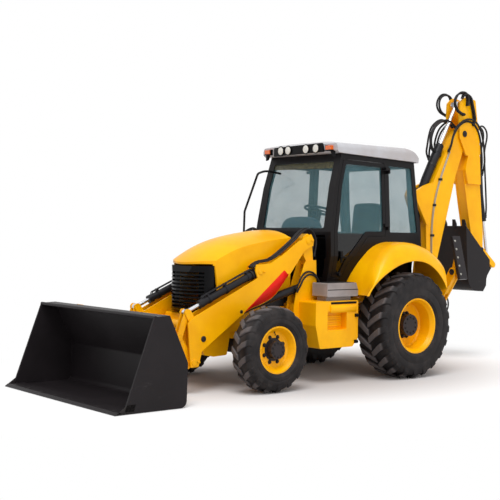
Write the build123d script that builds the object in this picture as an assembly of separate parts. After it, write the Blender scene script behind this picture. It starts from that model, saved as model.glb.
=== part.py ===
from build123d import *
import os
from math import hypot

# A centre-pivot backhoe loader with a front loader, a closed cab and a folded digging arm.
# Lengths are in millimetres. While the machine is drawn, y is measured backwards from the front axle,
# x to the machine's left and z up from the ground. save() moves it all so that the origin
# lies on the ground under the middle of the machine's length.

# Driving dimensions: wheels and axles
WHEELBASE = 2180
FRONT_TYRE_R = 480
FRONT_TYRE_W = 310
FRONT_RIM_R = 250
FRONT_WHEEL_X = 860
REAR_TYRE_R = 650
REAR_TYRE_W = 480
REAR_RIM_R = 325
REAR_WHEEL_X = 860
KINGPIN_X = 790

# Driving dimensions: frame, hood and cab
RAIL_X = 300
RAIL_W = 60
HOOD_HALF_W = 400
CAB_HALF_W = 690
WALL = 40

# Driving dimensions: pins and plates
PIN_PLAY = 0.5
SIDE_PLAY = 3
PLATE_T = 15

# Pin positions as (y, z)
FRONT_AXLE = (0, FRONT_TYRE_R)
REAR_AXLE = (WHEELBASE, REAR_TYRE_R)
ARM_PIVOT = (830, 1680)
BUCKET_HINGE = (-820, 355)
LEVER_PIVOT = (-705, 604)
ROD_PIN = (-901, 895)
LINK_PIN = (-998, 634)
TILT_BASE = (95, 1322)
LIFT_BASE = (880, 1160)
LIFT_PIN = (-180, 880)
HOOD_HINGE = (735, 1690)
DOOR_HINGE = (CAB_HALF_W + 25, 2030)
SWING_Y = WHEELBASE + 1170
# Pins of the digging arm as (y behind the swing axis, z)
BOOM_FOOT = (180, 720)
BOOM_RAM_BASE = (90, 1060)
BOOM_RAM_PIN = (-5, 2215)
DIPPER_RAM_BASE = (93, 2373)
DIPPER_RAM_PIN = (812, 3616)
KNUCKLE = (857, 3203)
IDLER_PIVOT = (1290, 1560)
IDLER_PIN = (1580, 1340)
HOE_LINK_PIN = (1310, 1010)
HOE_HINGE = (1300, 1250)
HOE_RAM_BASE = (1275, 3000)

# Overall reach, from which the middle of the length is worked out
LIP_Y = -2200
REAR_END_Y = SWING_Y + IDLER_PIN[0] + 55
MIDDLE_Y = (LIP_Y + REAR_END_Y) / 2


def side_plate(points, x0, x1, rounding=0):
    """A plate with its outline in the y-z plane, from x0 to x1."""
    face = make_face(Polyline(*points, close=True))
    if rounding:
        face = fillet(face.vertices(), rounding)
    return extrude(Plane.YZ.offset(x0) * face, amount=x1 - x0)


def front_plate(points, y0, y1, rounding=0):
    """A plate with its outline in the x-z plane, from y0 to y1."""
    face = make_face(Polyline(*points, close=True))
    if rounding:
        face = fillet(face.vertices(), rounding)
    return extrude(Plane.XZ.offset(-y0) * face, amount=-(y1 - y0))


def flat_plate(points, z0, z1, rounding=0):
    """A plate with its outline in the x-y plane, from z0 to z1."""
    face = make_face(Polyline(*points, close=True))
    if rounding:
        face = fillet(face.vertices(), rounding)
    return extrude(Plane.XY.offset(z0) * face, amount=z1 - z0)


def box(x0, x1, y0, y1, z0, z1):
    return Pos((x0 + x1) / 2, (y0 + y1) / 2, (z0 + z1) / 2) * Box(x1 - x0, y1 - y0, z1 - z0)


def cross_pin(at, r, x0, x1):
    """A round bar along x at (y, z)."""
    return extrude(Plane.YZ.offset(x0) * Pos(at[0], at[1]) * Circle(r), amount=x1 - x0)


def upright_pin(x, y, r, z0, z1):
    return Pos(x, y, (z0 + z1) / 2) * Cylinder(r, z1 - z0)


def bar(p, q, r):
    """A round bar between two points in space."""
    p, q = Vector(p), Vector(q)
    along = q - p
    return Plane(origin=p, z_dir=along) * Pos(0, 0, along.length / 2) * Cylinder(r, along.length)


def bent_tube(points, r, bend):
    """A round tube along straight runs with rounded corners."""
    path = FilletPolyline(*points, radius=bend)
    start = Plane(origin=path @ 0, z_dir=path % 0)
    return sweep(start * Circle(r), path=path)


def both_sides(shape):
    return shape + mirror(shape, about=Plane.YZ)


def toward(p, q, distance):
    """The point at that distance from p towards q."""
    length = hypot(q[0] - p[0], q[1] - p[1])
    return (p[0] + (q[0] - p[0]) * distance / length, p[1] + (q[1] - p[1]) * distance / length)


def ram(base, tip, across, barrel_r, rod_r, barrel_length, rod_inside, eye_r, base_w, tip_w, pin_r):
    """A cylinder from base to tip: the barrel with a bored eye, and the rod with its own eye."""
    base, tip = Vector(base), Vector(tip)
    length = (tip - base).length
    line = Plane(origin=base, x_dir=across, z_dir=tip - base)
    collar = 30

    def round_bar(r, z0, z1):
        return Pos(0, 0, (z0 + z1) / 2) * Cylinder(r, z1 - z0)

    bore_end = eye_r + 25
    barrel = round_bar(barrel_r, eye_r * 0.8, barrel_length - collar)
    barrel += round_bar(barrel_r + 6, barrel_length - 2 * collar, barrel_length)
    barrel -= round_bar(rod_r + PIN_PLAY, bore_end, barrel_length + 1)
    barrel += Rot(0, 90, 0) * Cylinder(eye_r, base_w)
    barrel -= Rot(0, 90, 0) * Cylinder(pin_r + PIN_PLAY, base_w + 200)
    rod = round_bar(rod_r, barrel_length - rod_inside, length)
    rod += Pos(0, 0, length) * Rot(0, 90, 0) * Cylinder(eye_r, tip_w)
    return line * barrel, line * rod


parts = {}


# Wheels
FRONT_DISH = 50
DISC_T = 14


def tyre_section(tyre_r, half, rim_r, lower):
    """The tyre's outline in the x-r plane. lower is how far the tread sinks below its lugs."""
    shoulder = tyre_r - 60
    side = [(half - 35, rim_r), (half - 8, rim_r + 40), (half - 0.3 * lower, (rim_r + shoulder) / 2),
            (half - 4 - lower / 2, shoulder - lower / 2), (half - 45, tyre_r - 12 - lower),
            (half - 80, tyre_r - lower)]
    return make_face(Polyline(*side, *[(-x, r) for x, r in reversed(side)], close=True))


def wheel(tyre_r, tyre_w, rim_r, centre, hub_reach, dish, hub_depth, lugs, lug_h, lug_w, sweep_back):
    """A tyre with slanting lugs, and its rim, for the left side. Both turn about x."""
    half = tyre_w / 2
    seat_w = half - 35
    flange = 22
    lip = seat_w + 12
    thick = 10
    hub_r = rim_r * 0.42
    rim_face = make_face(
        Polyline(
            (-lip, rim_r + flange), (-seat_w, rim_r + flange), (-seat_w, rim_r), (seat_w, rim_r),
            (seat_w, rim_r + flange), (lip, rim_r + flange), (lip, rim_r - 5), (seat_w - 40, rim_r - 35),
            (dish + 12, rim_r - 45), (dish, rim_r - 60), (dish, hub_r), (dish - DISC_T, hub_r),
            (dish - DISC_T, rim_r - 50), (dish - 2, rim_r - 35 - thick / 2), (-seat_w + 30, rim_r - 12),
            (-lip, rim_r - 5),
            close=True,
        )
    )
    rim = revolve(Plane.XZ * rim_face, axis=Axis.X)
    tyre = revolve(Plane.XZ * tyre_section(tyre_r, half, rim_r, lug_h), axis=Axis.X) - rim
    # A lug runs from the middle of the tread out over the shoulder
    lug_face = make_face(
        Polyline(
            (-8, 0), (-8, lug_w), (half * 0.55, lug_w + sweep_back * 0.5),
            (half + 5, lug_w * 1.15 + sweep_back),
            (half + 5, sweep_back), (half * 0.55, sweep_back * 0.45),
            close=True,
        )
    )
    lug = extrude(Plane.XY.offset(tyre_r - 130) * lug_face, amount=160)
    lug &= revolve(Plane.XZ * tyre_section(tyre_r, half, rim_r, 0), axis=Axis.X)
    other_lug = mirror(lug, about=Plane.YZ)
    pitch = 360 / lugs
    tyre += [Rot((i + 0.3) * pitch, 0, 0) * lug for i in range(lugs)]
    tyre += [Rot((i + 0.8) * pitch, 0, 0) * other_lug for i in range(lugs)]
    if hub_depth:
        rim += Pos(dish - hub_depth / 2, 0, 0) * Rot(0, 90, 0) * Cylinder(hub_r + 22, hub_depth)
    rim += Pos((dish + hub_reach) / 2, 0, 0) * Rot(0, 90, 0) * Cylinder(hub_r - 4, hub_reach - dish)
    rim += Pos(dish - DISC_T / 2, 0, 0) * Rot(0, 90, 0) * Cylinder(hub_r, DISC_T)
    place = Pos(*centre)
    return place * tyre, place * rim


front_tyre, front_rim = wheel(FRONT_TYRE_R, FRONT_TYRE_W, FRONT_RIM_R, (FRONT_WHEEL_X, *FRONT_AXLE), 130,
                              FRONT_DISH, 0,
                              17, 26, 40, 95)
rear_tyre, rear_rim = wheel(REAR_TYRE_R, REAR_TYRE_W, REAR_RIM_R, (REAR_WHEEL_X, *REAR_AXLE), 110, 10, 60,
                            21, 38, 50, 150)
for piece, shape in (("front_tyre", front_tyre), ("front_rim", front_rim), ("rear_tyre", rear_tyre),
                     ("rear_rim", rear_rim)):
    parts[f"{piece}_left"] = shape
    parts[f"{piece}_right"] = mirror(shape, about=Plane.YZ)

# Axles
YOKE_GAP = 190
YOKE_T = 30
YOKE_Y = 40
YOKE_OUT = KINGPIN_X + 28
KINGPIN_R = 18
front_axle = side_plate([(-90, 390), (90, 390), (110, 560), (-110, 560)], -420, 420, 20)
front_axle += both_sides(bar((380, *FRONT_AXLE), (KINGPIN_X - 100, *FRONT_AXLE), 62))
YOKE_IN = KINGPIN_X - 115
yoke = box(YOKE_IN, YOKE_IN + 27, -YOKE_Y, YOKE_Y, FRONT_TYRE_R - YOKE_GAP / 2, FRONT_TYRE_R + YOKE_GAP / 2)
for z0 in (FRONT_TYRE_R - YOKE_GAP / 2 - YOKE_T, FRONT_TYRE_R + YOKE_GAP / 2):
    yoke += box(YOKE_IN, YOKE_OUT, -YOKE_Y, YOKE_Y, z0, z0 + YOKE_T)
    yoke += upright_pin(KINGPIN_X, 0, KINGPIN_R, z0 - 12, z0 + YOKE_T + 12)
front_axle += both_sides(yoke)
AXLE_TUBE_R = 110
rear_axle = Pos(0, *REAR_AXLE) * Sphere(215)
rear_axle += bar((-560, *REAR_AXLE), (560, *REAR_AXLE), AXLE_TUBE_R)
REAR_HUB_IN = REAR_WHEEL_X + 10 - 60
for side in (1, -1):
    rear_axle += bar((side * 540, *REAR_AXLE), (side * (REAR_HUB_IN - PIN_PLAY), *REAR_AXLE), 150)
parts["front_axle"] = front_axle
parts["rear_axle"] = rear_axle

# Steering knuckles
FRONT_DISC_IN = FRONT_WHEEL_X + FRONT_DISH - DISC_T
block_h = YOKE_GAP / 2 - SIDE_PLAY
knuckle = box(KINGPIN_X - 45, KINGPIN_X + 45, -40, 40, FRONT_TYRE_R - block_h, FRONT_TYRE_R + block_h)
knuckle -= upright_pin(KINGPIN_X, 0, KINGPIN_R + PIN_PLAY, 0, 1000)
knuckle += bar((KINGPIN_X + 40, *FRONT_AXLE), (FRONT_DISC_IN - PIN_PLAY, *FRONT_AXLE), 70)
knuckle += box(KINGPIN_X - 25, KINGPIN_X + 20, 35, 150, FRONT_TYRE_R - 20, FRONT_TYRE_R + 10)
parts["knuckle_left"] = knuckle
parts["knuckle_right"] = mirror(knuckle, about=Plane.YZ)

# Main frame with its loader towers and rear frame
RAIL_TOP = 900
ENGINE_LOW = 700
frame = both_sides(box(RAIL_X, RAIL_X + RAIL_W, -250, SWING_Y - 250, 640, RAIL_TOP))
frame += box(-RAIL_X, RAIL_X, 250, 330, 640, ENGINE_LOW)
frame += box(-RAIL_X, RAIL_X, 1500, 1600, 700, 860)
# The cast weight under the nose
weight = side_plate([(-590, 470), (-540, 395), (-420, 372), (-230, 380), (-180, 640), (-180, 840),
                     (-560, 840), (-600, 700)],
                    -370, 370, 25)
frame += weight
# Axle cradle
frame += both_sides(side_plate([(-240, 640), (-150, 560), (150, 560), (240, 640)], RAIL_X - 10, RAIL_X + 40))
# Mounts for the cab and a cross tube under the engine
CAB_FLOOR = 1157
for y0 in (1150, 2440):
    frame += both_sides(box(RAIL_X, RAIL_X + RAIL_W, y0, y0 + 90, RAIL_TOP, CAB_FLOOR))
# Towers: a fork of two plates for the lift cylinder, with a block above that stands in the arm's slot
ARM_IN = HOOD_HALF_W + 20
ARM_OUT = ARM_IN + 140
FORK_MID = (ARM_IN + ARM_OUT) / 2
TOWER_PLATE = 12
TOWER_IN = ARM_IN + PLATE_T + SIDE_PLAY + 5
TOWER_OUT = ARM_OUT - PLATE_T - SIDE_PLAY - 5
tower_low = [(600, 640), (610, 900), (646, 1068), (765, 1400), (800, 1450), (955, 1450), (965, 1250),
             (970, 1150), (960, 640)]
tower = side_plate(tower_low, ARM_IN, ARM_IN + TOWER_PLATE, 15)
tower += side_plate(tower_low, ARM_OUT - TOWER_PLATE, ARM_OUT, 15)
tower += side_plate([(822, 1400), (812, 1450), (955, 1450), (955, 1400)], ARM_IN, ARM_OUT)
tower += side_plate([(935, 920), (935, 1410), (955, 1410), (955, 920)], ARM_IN, ARM_OUT)
tower += side_plate([(812, 1440), (775, 1500), (752, 1620), (760, 1720), (830, 1765), (900, 1730),
                     (925, 1440)], TOWER_IN, TOWER_OUT, 15)
tower -= cross_pin(ARM_PIVOT, 35 + PIN_PLAY, 0, 1000)
tower += cross_pin(LIFT_BASE, 25, ARM_IN, ARM_OUT)
tower += box(RAIL_X + RAIL_W - 10, ARM_OUT, 640, 955, 680, 940)
frame += both_sides(tower)
frame += both_sides(box(RAIL_X + RAIL_W - 5, ARM_OUT, 1150, 1210, 720, 840))
# Rear frame: two swing plates and the stabiliser mounts
SWING_PIN_R = 35
LUG_T = 45
SWING_TOP, SWING_LOW = 930, 540
TAIL_Y = SWING_Y - 590
for z in (SWING_TOP, SWING_LOW):
    plate = flat_plate([(-360, TAIL_Y), (360, TAIL_Y), (360, TAIL_Y + 140), (82, SWING_Y - 50),
                        (82, SWING_Y), (-82, SWING_Y),
                        (-82, SWING_Y - 50), (-360, TAIL_Y + 140)], z, z + LUG_T)
    plate += upright_pin(0, SWING_Y, 82, z, z + LUG_T)
    plate -= upright_pin(0, SWING_Y, SWING_PIN_R + PIN_PLAY, z - 1, z + LUG_T + 1)
    frame += plate
frame += both_sides(box(RAIL_X + 10, RAIL_X + RAIL_W, TAIL_Y, TAIL_Y + 150, SWING_LOW, SWING_TOP + LUG_T))
frame += box(-RAIL_X - 20, RAIL_X + 20, TAIL_Y, TAIL_Y + 40, SWING_LOW, SWING_TOP + LUG_T)
STAB_Y = SWING_Y - 390
STAB_HALF_W = 55
STAB_PIVOT = (600, 640)
STAB_FOOT = (1010, 1300)
STAB_RAM_BASE = (450, 1450)
STAB_RAM_PIN = (703, 882)
STAB_PIN_R = 25
EAR_T = 20
ear_outline = [(340, 560), (620, 570), (670, 640), (640, 720), (560, 1100), (510, 1480), (450, 1510),
               (390, 1480), (340, 1000)]
for y0 in (STAB_Y - STAB_HALF_W - EAR_T - 5, STAB_Y + STAB_HALF_W + 5):
    frame += both_sides(front_plate(ear_outline, y0, y0 + EAR_T, 12))
frame += both_sides(box(340, 370, STAB_Y - 80, STAB_Y + 80, 560, 1000))
frame += both_sides(front_plate([(385, 1000), (405, 1460), (395, 1470), (340, 1000)], STAB_Y - 70,
                                STAB_Y + 70))
for at in (STAB_PIVOT, STAB_RAM_BASE):
    pin = Pos(at[0], STAB_Y, at[1]) * Rot(90, 0, 0) * Cylinder(STAB_PIN_R, 2 * STAB_HALF_W + 50)
    frame += both_sides(pin)
frame -= cross_pin(REAR_AXLE, AXLE_TUBE_R, -560, 560)
parts["main_frame"] = frame

# Engine, one plain block between the rails
parts["engine"] = box(-RAIL_X + 10, RAIL_X - 10, -150, 720, ENGINE_LOW, 1350)

# Hood: a crowned shell, open below and at the front, with its nose bowed
HOOD_T = 25
NOSE_Y = -610
HOOD_REAR_Y = 690
# Heights of the side crease and of the crown along the hood, as (y, crease, crown)
HOOD_STATIONS = [(-720, 1280, 1330), (-600, 1345, 1433), (-300, 1508, 1622), (100, 1633, 1740),
                 (420, 1684, 1788),
                 (760, 1710, 1790)]


def hood_body(inset):
    """The hood's form, moved inwards by inset."""
    half = HOOD_HALF_W - inset
    sections = []
    for y, crease, crown in HOOD_STATIONS:
        walls = Polyline((-half, crease - inset), (-half, 900), (half, 900), (half, crease - inset))
        top = ThreePointArc((half, crease - inset), (0, crown - inset), (-half, crease - inset))
        sections.append(Plane.XZ.offset(-y) * make_face(walls + top))
    return loft(sections)


def bow(half, side_y, middle_y, z0, z1):
    """All that lies behind a bowed front, from z0 to z1."""
    front = ThreePointArc((-half, side_y), (0, middle_y), (half, side_y))
    rest = Polyline((half, side_y), (half, HOOD_REAR_Y), (-half, HOOD_REAR_Y), (-half, side_y))
    return extrude(Plane.XY.offset(z0) * make_face(front + rest), amount=z1 - z0)


hood_side = [(NOSE_Y - 40, 1390), (NOSE_Y - 40, 1900), (HOOD_REAR_Y, 1900), (HOOD_REAR_Y, 1080),
             (-380, 1000), (-430, 1390)]
hood = hood_body(0) & bow(HOOD_HALF_W, NOSE_Y + 190, NOSE_Y, 900, 1900)
hood &= side_plate(hood_side, -HOOD_HALF_W, HOOD_HALF_W)
hood -= hood_body(HOOD_T)
HOOD_PIN_R = 12
hood += both_sides(box(285, 320, 640, HOOD_HINGE[0] + 25, HOOD_HINGE[1] - 25, HOOD_HINGE[1] + 30))
hood -= cross_pin(HOOD_HINGE, HOOD_PIN_R + PIN_PLAY, -390, 390)
parts["hood"] = hood
# Grille: a bowed plate with slots between its bars
GRILLE_HALF_W = HOOD_HALF_W - HOOD_T
GRILLE_LOW, GRILLE_TOP = 860, 1385
GRILLE_FRAME = 45
grille_side = [(NOSE_Y + 10, GRILLE_TOP), (NOSE_Y - 35, 1200), (NOSE_Y - 20, 900),
               (NOSE_Y + 50, GRILLE_LOW), (-390, GRILLE_LOW),
               (-390, GRILLE_TOP)]
grille = side_plate(grille_side, -GRILLE_HALF_W, GRILLE_HALF_W)
grille &= bow(GRILLE_HALF_W, NOSE_Y + 180, NOSE_Y - 35, GRILLE_LOW - 10, GRILLE_TOP + 10)
grille -= bow(GRILLE_HALF_W - 30, NOSE_Y + 225, NOSE_Y + 20, GRILLE_LOW + GRILLE_FRAME,
              GRILLE_TOP - GRILLE_FRAME)
SLOT_PITCH = 42
SLOT_H = 22
slots = int((GRILLE_TOP - GRILLE_LOW - 2 * GRILLE_FRAME) / SLOT_PITCH)
for i in range(slots):
    slot_low = GRILLE_LOW + GRILLE_FRAME + 10 + i * SLOT_PITCH
    grille -= box(-310, 310, NOSE_Y - 90, -380, slot_low, slot_low + SLOT_H)
parts["grille"] = grille

# Loader arms: each a pair of plates with spacers between, joined by a cross tube
arm_outline = [(-872, 302), (-768, 302), (-722, 469), (-143, 860), (522, 1262), (770, 1560), (905, 1620),
               (915, 1690), (870, 1760), (657, 1660), (434, 1515), (251, 1418), (34, 1405), (20, 1330),
               (55, 1252), (-870, 830), (-915, 780)]
LOW_SPACER = [(-500, 635), (-265, 795), (-265, 835), (-500, 665)]
REAR_SPACER = [(145, 1130), (420, 1305), (470, 1400), (470, 1515), (434, 1500), (240, 1400), (160, 1370),
               (150, 1290)]
PIVOT_PIN_R = 35
HINGE_PIN_R = 30
LEVER_PIN_R = 26
RAM_PIN_R = 24
LEVER_T = 12
arm = side_plate(arm_outline, ARM_IN, ARM_IN + PLATE_T, 12) + side_plate(arm_outline, ARM_OUT - PLATE_T,
                                                                         ARM_OUT, 12)
arm += side_plate(LOW_SPACER, ARM_IN + 5, ARM_OUT - 5)
arm += side_plate(REAR_SPACER, ARM_IN + 5, ARM_OUT - 5)
for at, r in ((ARM_PIVOT, PIVOT_PIN_R), (BUCKET_HINGE, HINGE_PIN_R), (TILT_BASE, RAM_PIN_R)):
    arm += cross_pin(at, r, ARM_IN, ARM_OUT)
arm += cross_pin(LIFT_PIN, 45, ARM_IN, ARM_IN + PLATE_T) + cross_pin(LIFT_PIN, 45, ARM_OUT - PLATE_T,
                                                                     ARM_OUT)
# Each lever turns on a stub, so that the rod can pass between the two
STUB = PLATE_T + SIDE_PLAY + LEVER_T + 1
arm += cross_pin(LEVER_PIVOT, LEVER_PIN_R, ARM_IN, ARM_IN + STUB) + cross_pin(LEVER_PIVOT, LEVER_PIN_R,
                                                                              ARM_OUT - STUB, ARM_OUT)
arms = both_sides(arm)
CROSS_TUBE = (-700, 720)
arms += cross_pin(CROSS_TUBE, 60, -ARM_IN - 5, ARM_IN + 5)
parts["loader_arms"] = arms

# Loader rams, the tilt levers and links


def side_ram(base, tip, *sizes):
    return ram((FORK_MID, *base), (FORK_MID, *tip), (1, 0, 0), *sizes)


lift_barrel, lift_rod = side_ram(LIFT_BASE, LIFT_PIN, 46, 27, 1015, 890, 45, 100, 100, 25)
tilt_barrel, tilt_rod = side_ram(TILT_BASE, ROD_PIN, 42, 23, 890, 560, 38, 100, 36, RAM_PIN_R)
parts["lift_barrels"] = both_sides(lift_barrel)
parts["lift_rods"] = both_sides(lift_rod)
parts["tilt_barrels"] = both_sides(tilt_barrel)
parts["tilt_rods"] = both_sides(tilt_rod)


def strap(p, q, rp, rq, x0, x1, hole_p, hole_q):
    """A link plate with rounded ends about p and q, from x0 to x1."""
    body = cross_pin(p, rp, x0, x1) + cross_pin(q, rq, x0, x1)
    length = hypot(q[0] - p[0], q[1] - p[1])
    ny, nz = -(q[1] - p[1]) / length, (q[0] - p[0]) / length
    body += side_plate([(p[0] + ny * rp, p[1] + nz * rp), (q[0] + ny * rq, q[1] + nz * rq),
                        (q[0] - ny * rq, q[1] - nz * rq), (p[0] - ny * rp, p[1] - nz * rp)], x0, x1)
    if hole_p:
        body -= cross_pin(p, hole_p + PIN_PLAY, x0 - 1, x1 + 1)
    if hole_q:
        body -= cross_pin(q, hole_q + PIN_PLAY, x0 - 1, x1 + 1)
    return body


LEVER_IN = ARM_IN + PLATE_T + SIDE_PLAY
LEVER_OUT = ARM_OUT - PLATE_T - SIDE_PLAY
lever = strap(LEVER_PIVOT, ROD_PIN, 48, 42, LEVER_IN, LEVER_IN + LEVER_T, LEVER_PIN_R, 0)
lever += strap(LEVER_PIVOT, ROD_PIN, 48, 42, LEVER_OUT - LEVER_T, LEVER_OUT, LEVER_PIN_R, 0)
parts["tilt_levers"] = both_sides(lever)
LINK_IN = LEVER_IN + LEVER_T + SIDE_PLAY
LINK_OUT = LEVER_OUT - LEVER_T - SIDE_PLAY
LINK_PIN_R = 22
link = strap(ROD_PIN, LINK_PIN, 36, 36, LINK_IN, LINK_IN + LEVER_T, 0, LINK_PIN_R)
link += strap(ROD_PIN, LINK_PIN, 36, 36, LINK_OUT - LEVER_T, LINK_OUT, 0, LINK_PIN_R)
parts["tilt_links"] = both_sides(link)

# Loader bucket and its carrier
BUCKET_HALF_W = 1160
SHELL_T = 12
MOUTH_TOP = (-1755, 930)
MOUTH_LOW = (LIP_Y + 100, 5)
HEEL_R = 70


def bucket_form(inset, x0, x1):
    """The space behind the bucket's mouth, moved inwards by inset, with its heel and back bends rounded."""
    mouth = inset * 3
    form = side_plate([(MOUTH_LOW[0] - mouth, MOUTH_LOW[1] + inset),
                       (MOUTH_TOP[0] - mouth, MOUTH_TOP[1] - inset),
                       (-1573 - inset / 2, 937 - inset), (-1345 - inset, 453),
                       (-1358 - inset, 5 + inset)], x0, x1)
    bends = form.edges().filter_by(Axis.X).sort_by(Axis.Y)[-2:]
    return fillet(bends, HEEL_R - inset)


bucket = bucket_form(0, -BUCKET_HALF_W, BUCKET_HALF_W)
bucket -= bucket_form(SHELL_T, -BUCKET_HALF_W - 1, BUCKET_HALF_W + 1)
cheek = bucket_form(0, BUCKET_HALF_W - 20, BUCKET_HALF_W)
cheek += side_plate([(LIP_Y + 122, 25), (LIP_Y + 175, 25), (-1712, 905), (-1757, 905)], BUCKET_HALF_W - 20,
                    BUCKET_HALF_W)
bucket += both_sides(cheek)
# A rolled lip along the top of the mouth
bucket += cross_pin((MOUTH_TOP[0] + 12, MOUTH_TOP[1] - 8), 18, -BUCKET_HALF_W, BUCKET_HALF_W)
bucket += side_plate([(LIP_Y, 5), (LIP_Y + 230, 5), (LIP_Y + 230, 31), (LIP_Y + 40, 31)], -BUCKET_HALF_W,
                     BUCKET_HALF_W)
EDGE_BOLT_R = 11
EDGE_BOLT_PITCH = 290
for i in range(8):
    bucket -= upright_pin((i - 3.5) * EDGE_BOLT_PITCH, LIP_Y + 80, EDGE_BOLT_R, 0, 60)
parts["loader_bucket"] = bucket
LUG_HALF = 20
lug = [(-775, 330), (-800, 400), (-970, 645), (-1040, 640), (-1338, 520), (-1345, 453), (-1356, 120),
       (-1300, 90), (-850, 290)]
carrier = side_plate(lug, FORK_MID - LUG_HALF, FORK_MID + LUG_HALF, 8)
carrier += cross_pin(BUCKET_HINGE, 50, FORK_MID - LUG_HALF, FORK_MID + LUG_HALF)
carrier += cross_pin(BUCKET_HINGE, 40, FORK_MID - LUG_HALF - 30, FORK_MID + LUG_HALF + 30)
carrier += cross_pin(LINK_PIN, LINK_PIN_R, LINK_IN, LINK_OUT)
carrier -= cross_pin(BUCKET_HINGE, HINGE_PIN_R + PIN_PLAY, 0, 1000)
rib = [(-1345, 453), (-1356, 120), (-1290, 110), (-1290, 470), (-1500, 930), (-1571, 940)]
carrier += side_plate(rib, 640, 670)
carrier = both_sides(carrier)
carrier += cross_pin((-1300, 300), 42, -670, 670)
carrier += cross_pin((-1470, 860), 36, -670, 670)
parts["bucket_carrier"] = carrier - bucket

# Rear fenders: a crowned top panel that falls away to its outer edge
FENDER_IN = 560
FENDER_CROWN_X = 880
FENDER_OUT = 1105
FENDER_T = 25
FENDER_FOOT = 1040
fender_top = [(WHEELBASE - 810, FENDER_FOOT), (WHEELBASE - 699, 1314), (WHEELBASE - 538, 1521),
              (WHEELBASE - 372, 1626),
              (WHEELBASE - 116, 1674), (WHEELBASE + 149, 1639), (WHEELBASE + 360, 1560),
              (WHEELBASE + 540, 1440)]
fender_edge = [(WHEELBASE - 918, FENDER_FOOT), (WHEELBASE - 827, 1150), (WHEELBASE - 571, 1325),
               (WHEELBASE - 372, 1412),
               (WHEELBASE - 116, 1462), (WHEELBASE + 149, 1430), (WHEELBASE + 360, 1310),
               (WHEELBASE + 520, 1120)]


def fender_face(points, x, deeper):
    """The fender's outline at x, moved towards the wheel's centre by deeper."""
    top = [toward(p, REAR_AXLE, deeper) for p in points]
    foot = Polyline(top[-1], (top[-1][0], 900), (top[0][0], 900), top[0])
    return Plane.YZ.offset(x) * make_face(Spline(*top) + foot)


def fender_solid(deeper, grow):
    flat = extrude(fender_face(fender_top, FENDER_IN - grow, deeper),
                   amount=FENDER_CROWN_X - FENDER_IN + grow)
    turn_down = [((p[0] * 3 + q[0]) / 4, (p[1] * 3 + q[1]) / 4) for p, q in zip(fender_top, fender_edge)]
    fall = loft([fender_face(fender_top, FENDER_CROWN_X, deeper),
                 fender_face(turn_down, (FENDER_CROWN_X + 2 * FENDER_OUT) / 3, deeper),
                 fender_face(fender_edge, FENDER_OUT + grow, deeper)])
    return flat + fall


above_foot = box(0, 1300, 1000, 3000, FENDER_FOOT, 2000)
fender = (fender_solid(0, 0) & above_foot) - fender_solid(FENDER_T, 1)
fender -= cross_pin(REAR_AXLE, REAR_TYRE_R + 35, 0, 1300)
parts["rear_fenders"] = both_sides(fender)

# Cab: a hollow shell with its openings cut
CAB_TOP = 2735
CAB_TOP_HALF_W = CAB_HALF_W - 50
CAB_LOW_HALF_W = CAB_HALF_W - 90
cab_side = [(1085, CAB_FLOOR), (1062, 1790), (1155, 2333), (1268, CAB_TOP), (2560, 2690), (2609, 2102),
            (2676, 1581), (2640, 1300), (2560, CAB_FLOOR)]
cavity_side = [(1085 + WALL, CAB_FLOOR + WALL), (1062 + WALL, 1790), (1155 + WALL, 2333),
               (1268 + WALL, CAB_TOP + 60), (2560 - WALL, CAB_TOP + 60),
               (2609 - WALL, 2102), (2676 - WALL, 1581), (2640 - WALL, 1310), (2540, CAB_FLOOR + WALL)]


def cab_front(shrink, rise):
    half = [(CAB_LOW_HALF_W - shrink, CAB_FLOOR + shrink), (CAB_HALF_W - shrink, 1500),
            (CAB_HALF_W - shrink, 1900),
            (CAB_TOP_HALF_W - shrink, 2760 + rise)]
    return half + [(-x, z) for x, z in reversed(half)]


def arch(x0, wider):
    face = fender_face(fender_top, x0, -wider)
    return extrude(face, amount=900 - x0)


cab_solid = side_plate(cab_side, -CAB_HALF_W, CAB_HALF_W) & front_plate(cab_front(0, 0), 900, 2900)
cab_solid -= both_sides(arch(FENDER_IN, 0))
cavity = side_plate(cavity_side, -CAB_HALF_W, CAB_HALF_W) & front_plate(cab_front(WALL, 50), 900, 2900)
cavity -= both_sides(arch(FENDER_IN - WALL, WALL))
walls = cab_solid - cavity
glass_out = side_plate([(y + (12 if y < 2000 else -12), z) for y, z in cab_side], -CAB_HALF_W, CAB_HALF_W)
glass_out &= front_plate(cab_front(12, 0), 900, 2900)
glass_in = side_plate([(y + (20 if y < 2000 else -20), z) for y, z in cab_side], -CAB_HALF_W, CAB_HALF_W)
glass_in &= front_plate(cab_front(20, 0), 900, 2900)
pane = glass_out - glass_in

door_outline = [(1140, 1230), (1116, 1790), (1205, 2333), (1300, 2670), (2010, 2650), (2010, 1740),
                (1700, 1740), (1370, 1400), (1310, 1230)]
door_window = [(1200, 1300), (1180, 1790), (1262, 2333), (1345, 2610), (1955, 2595), (1955, 1800),
               (1660, 1800), (1315, 1440), (1265, 1300)]
quarter_outline = [(2085, 1790), (2085, 2620), (2500, 2610), (2545, 2100), (2590, 1790)]
screen_outline = [(-560, 1830), (560, 1830), (545, 2640), (-545, 2640)]
back_outline = [(-560, 1700), (560, 1700), (530, 2610), (-530, 2610)]
knee_outline = [(420, 1240), (530, 1240), (600, 1500), (600, 1750), (420, 1750)]
DOOR_GAP = 6


def side_cut(points, rounding, side):
    return side_plate(points, side * (CAB_HALF_W - 240), side * (CAB_HALF_W + 110), rounding)


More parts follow.
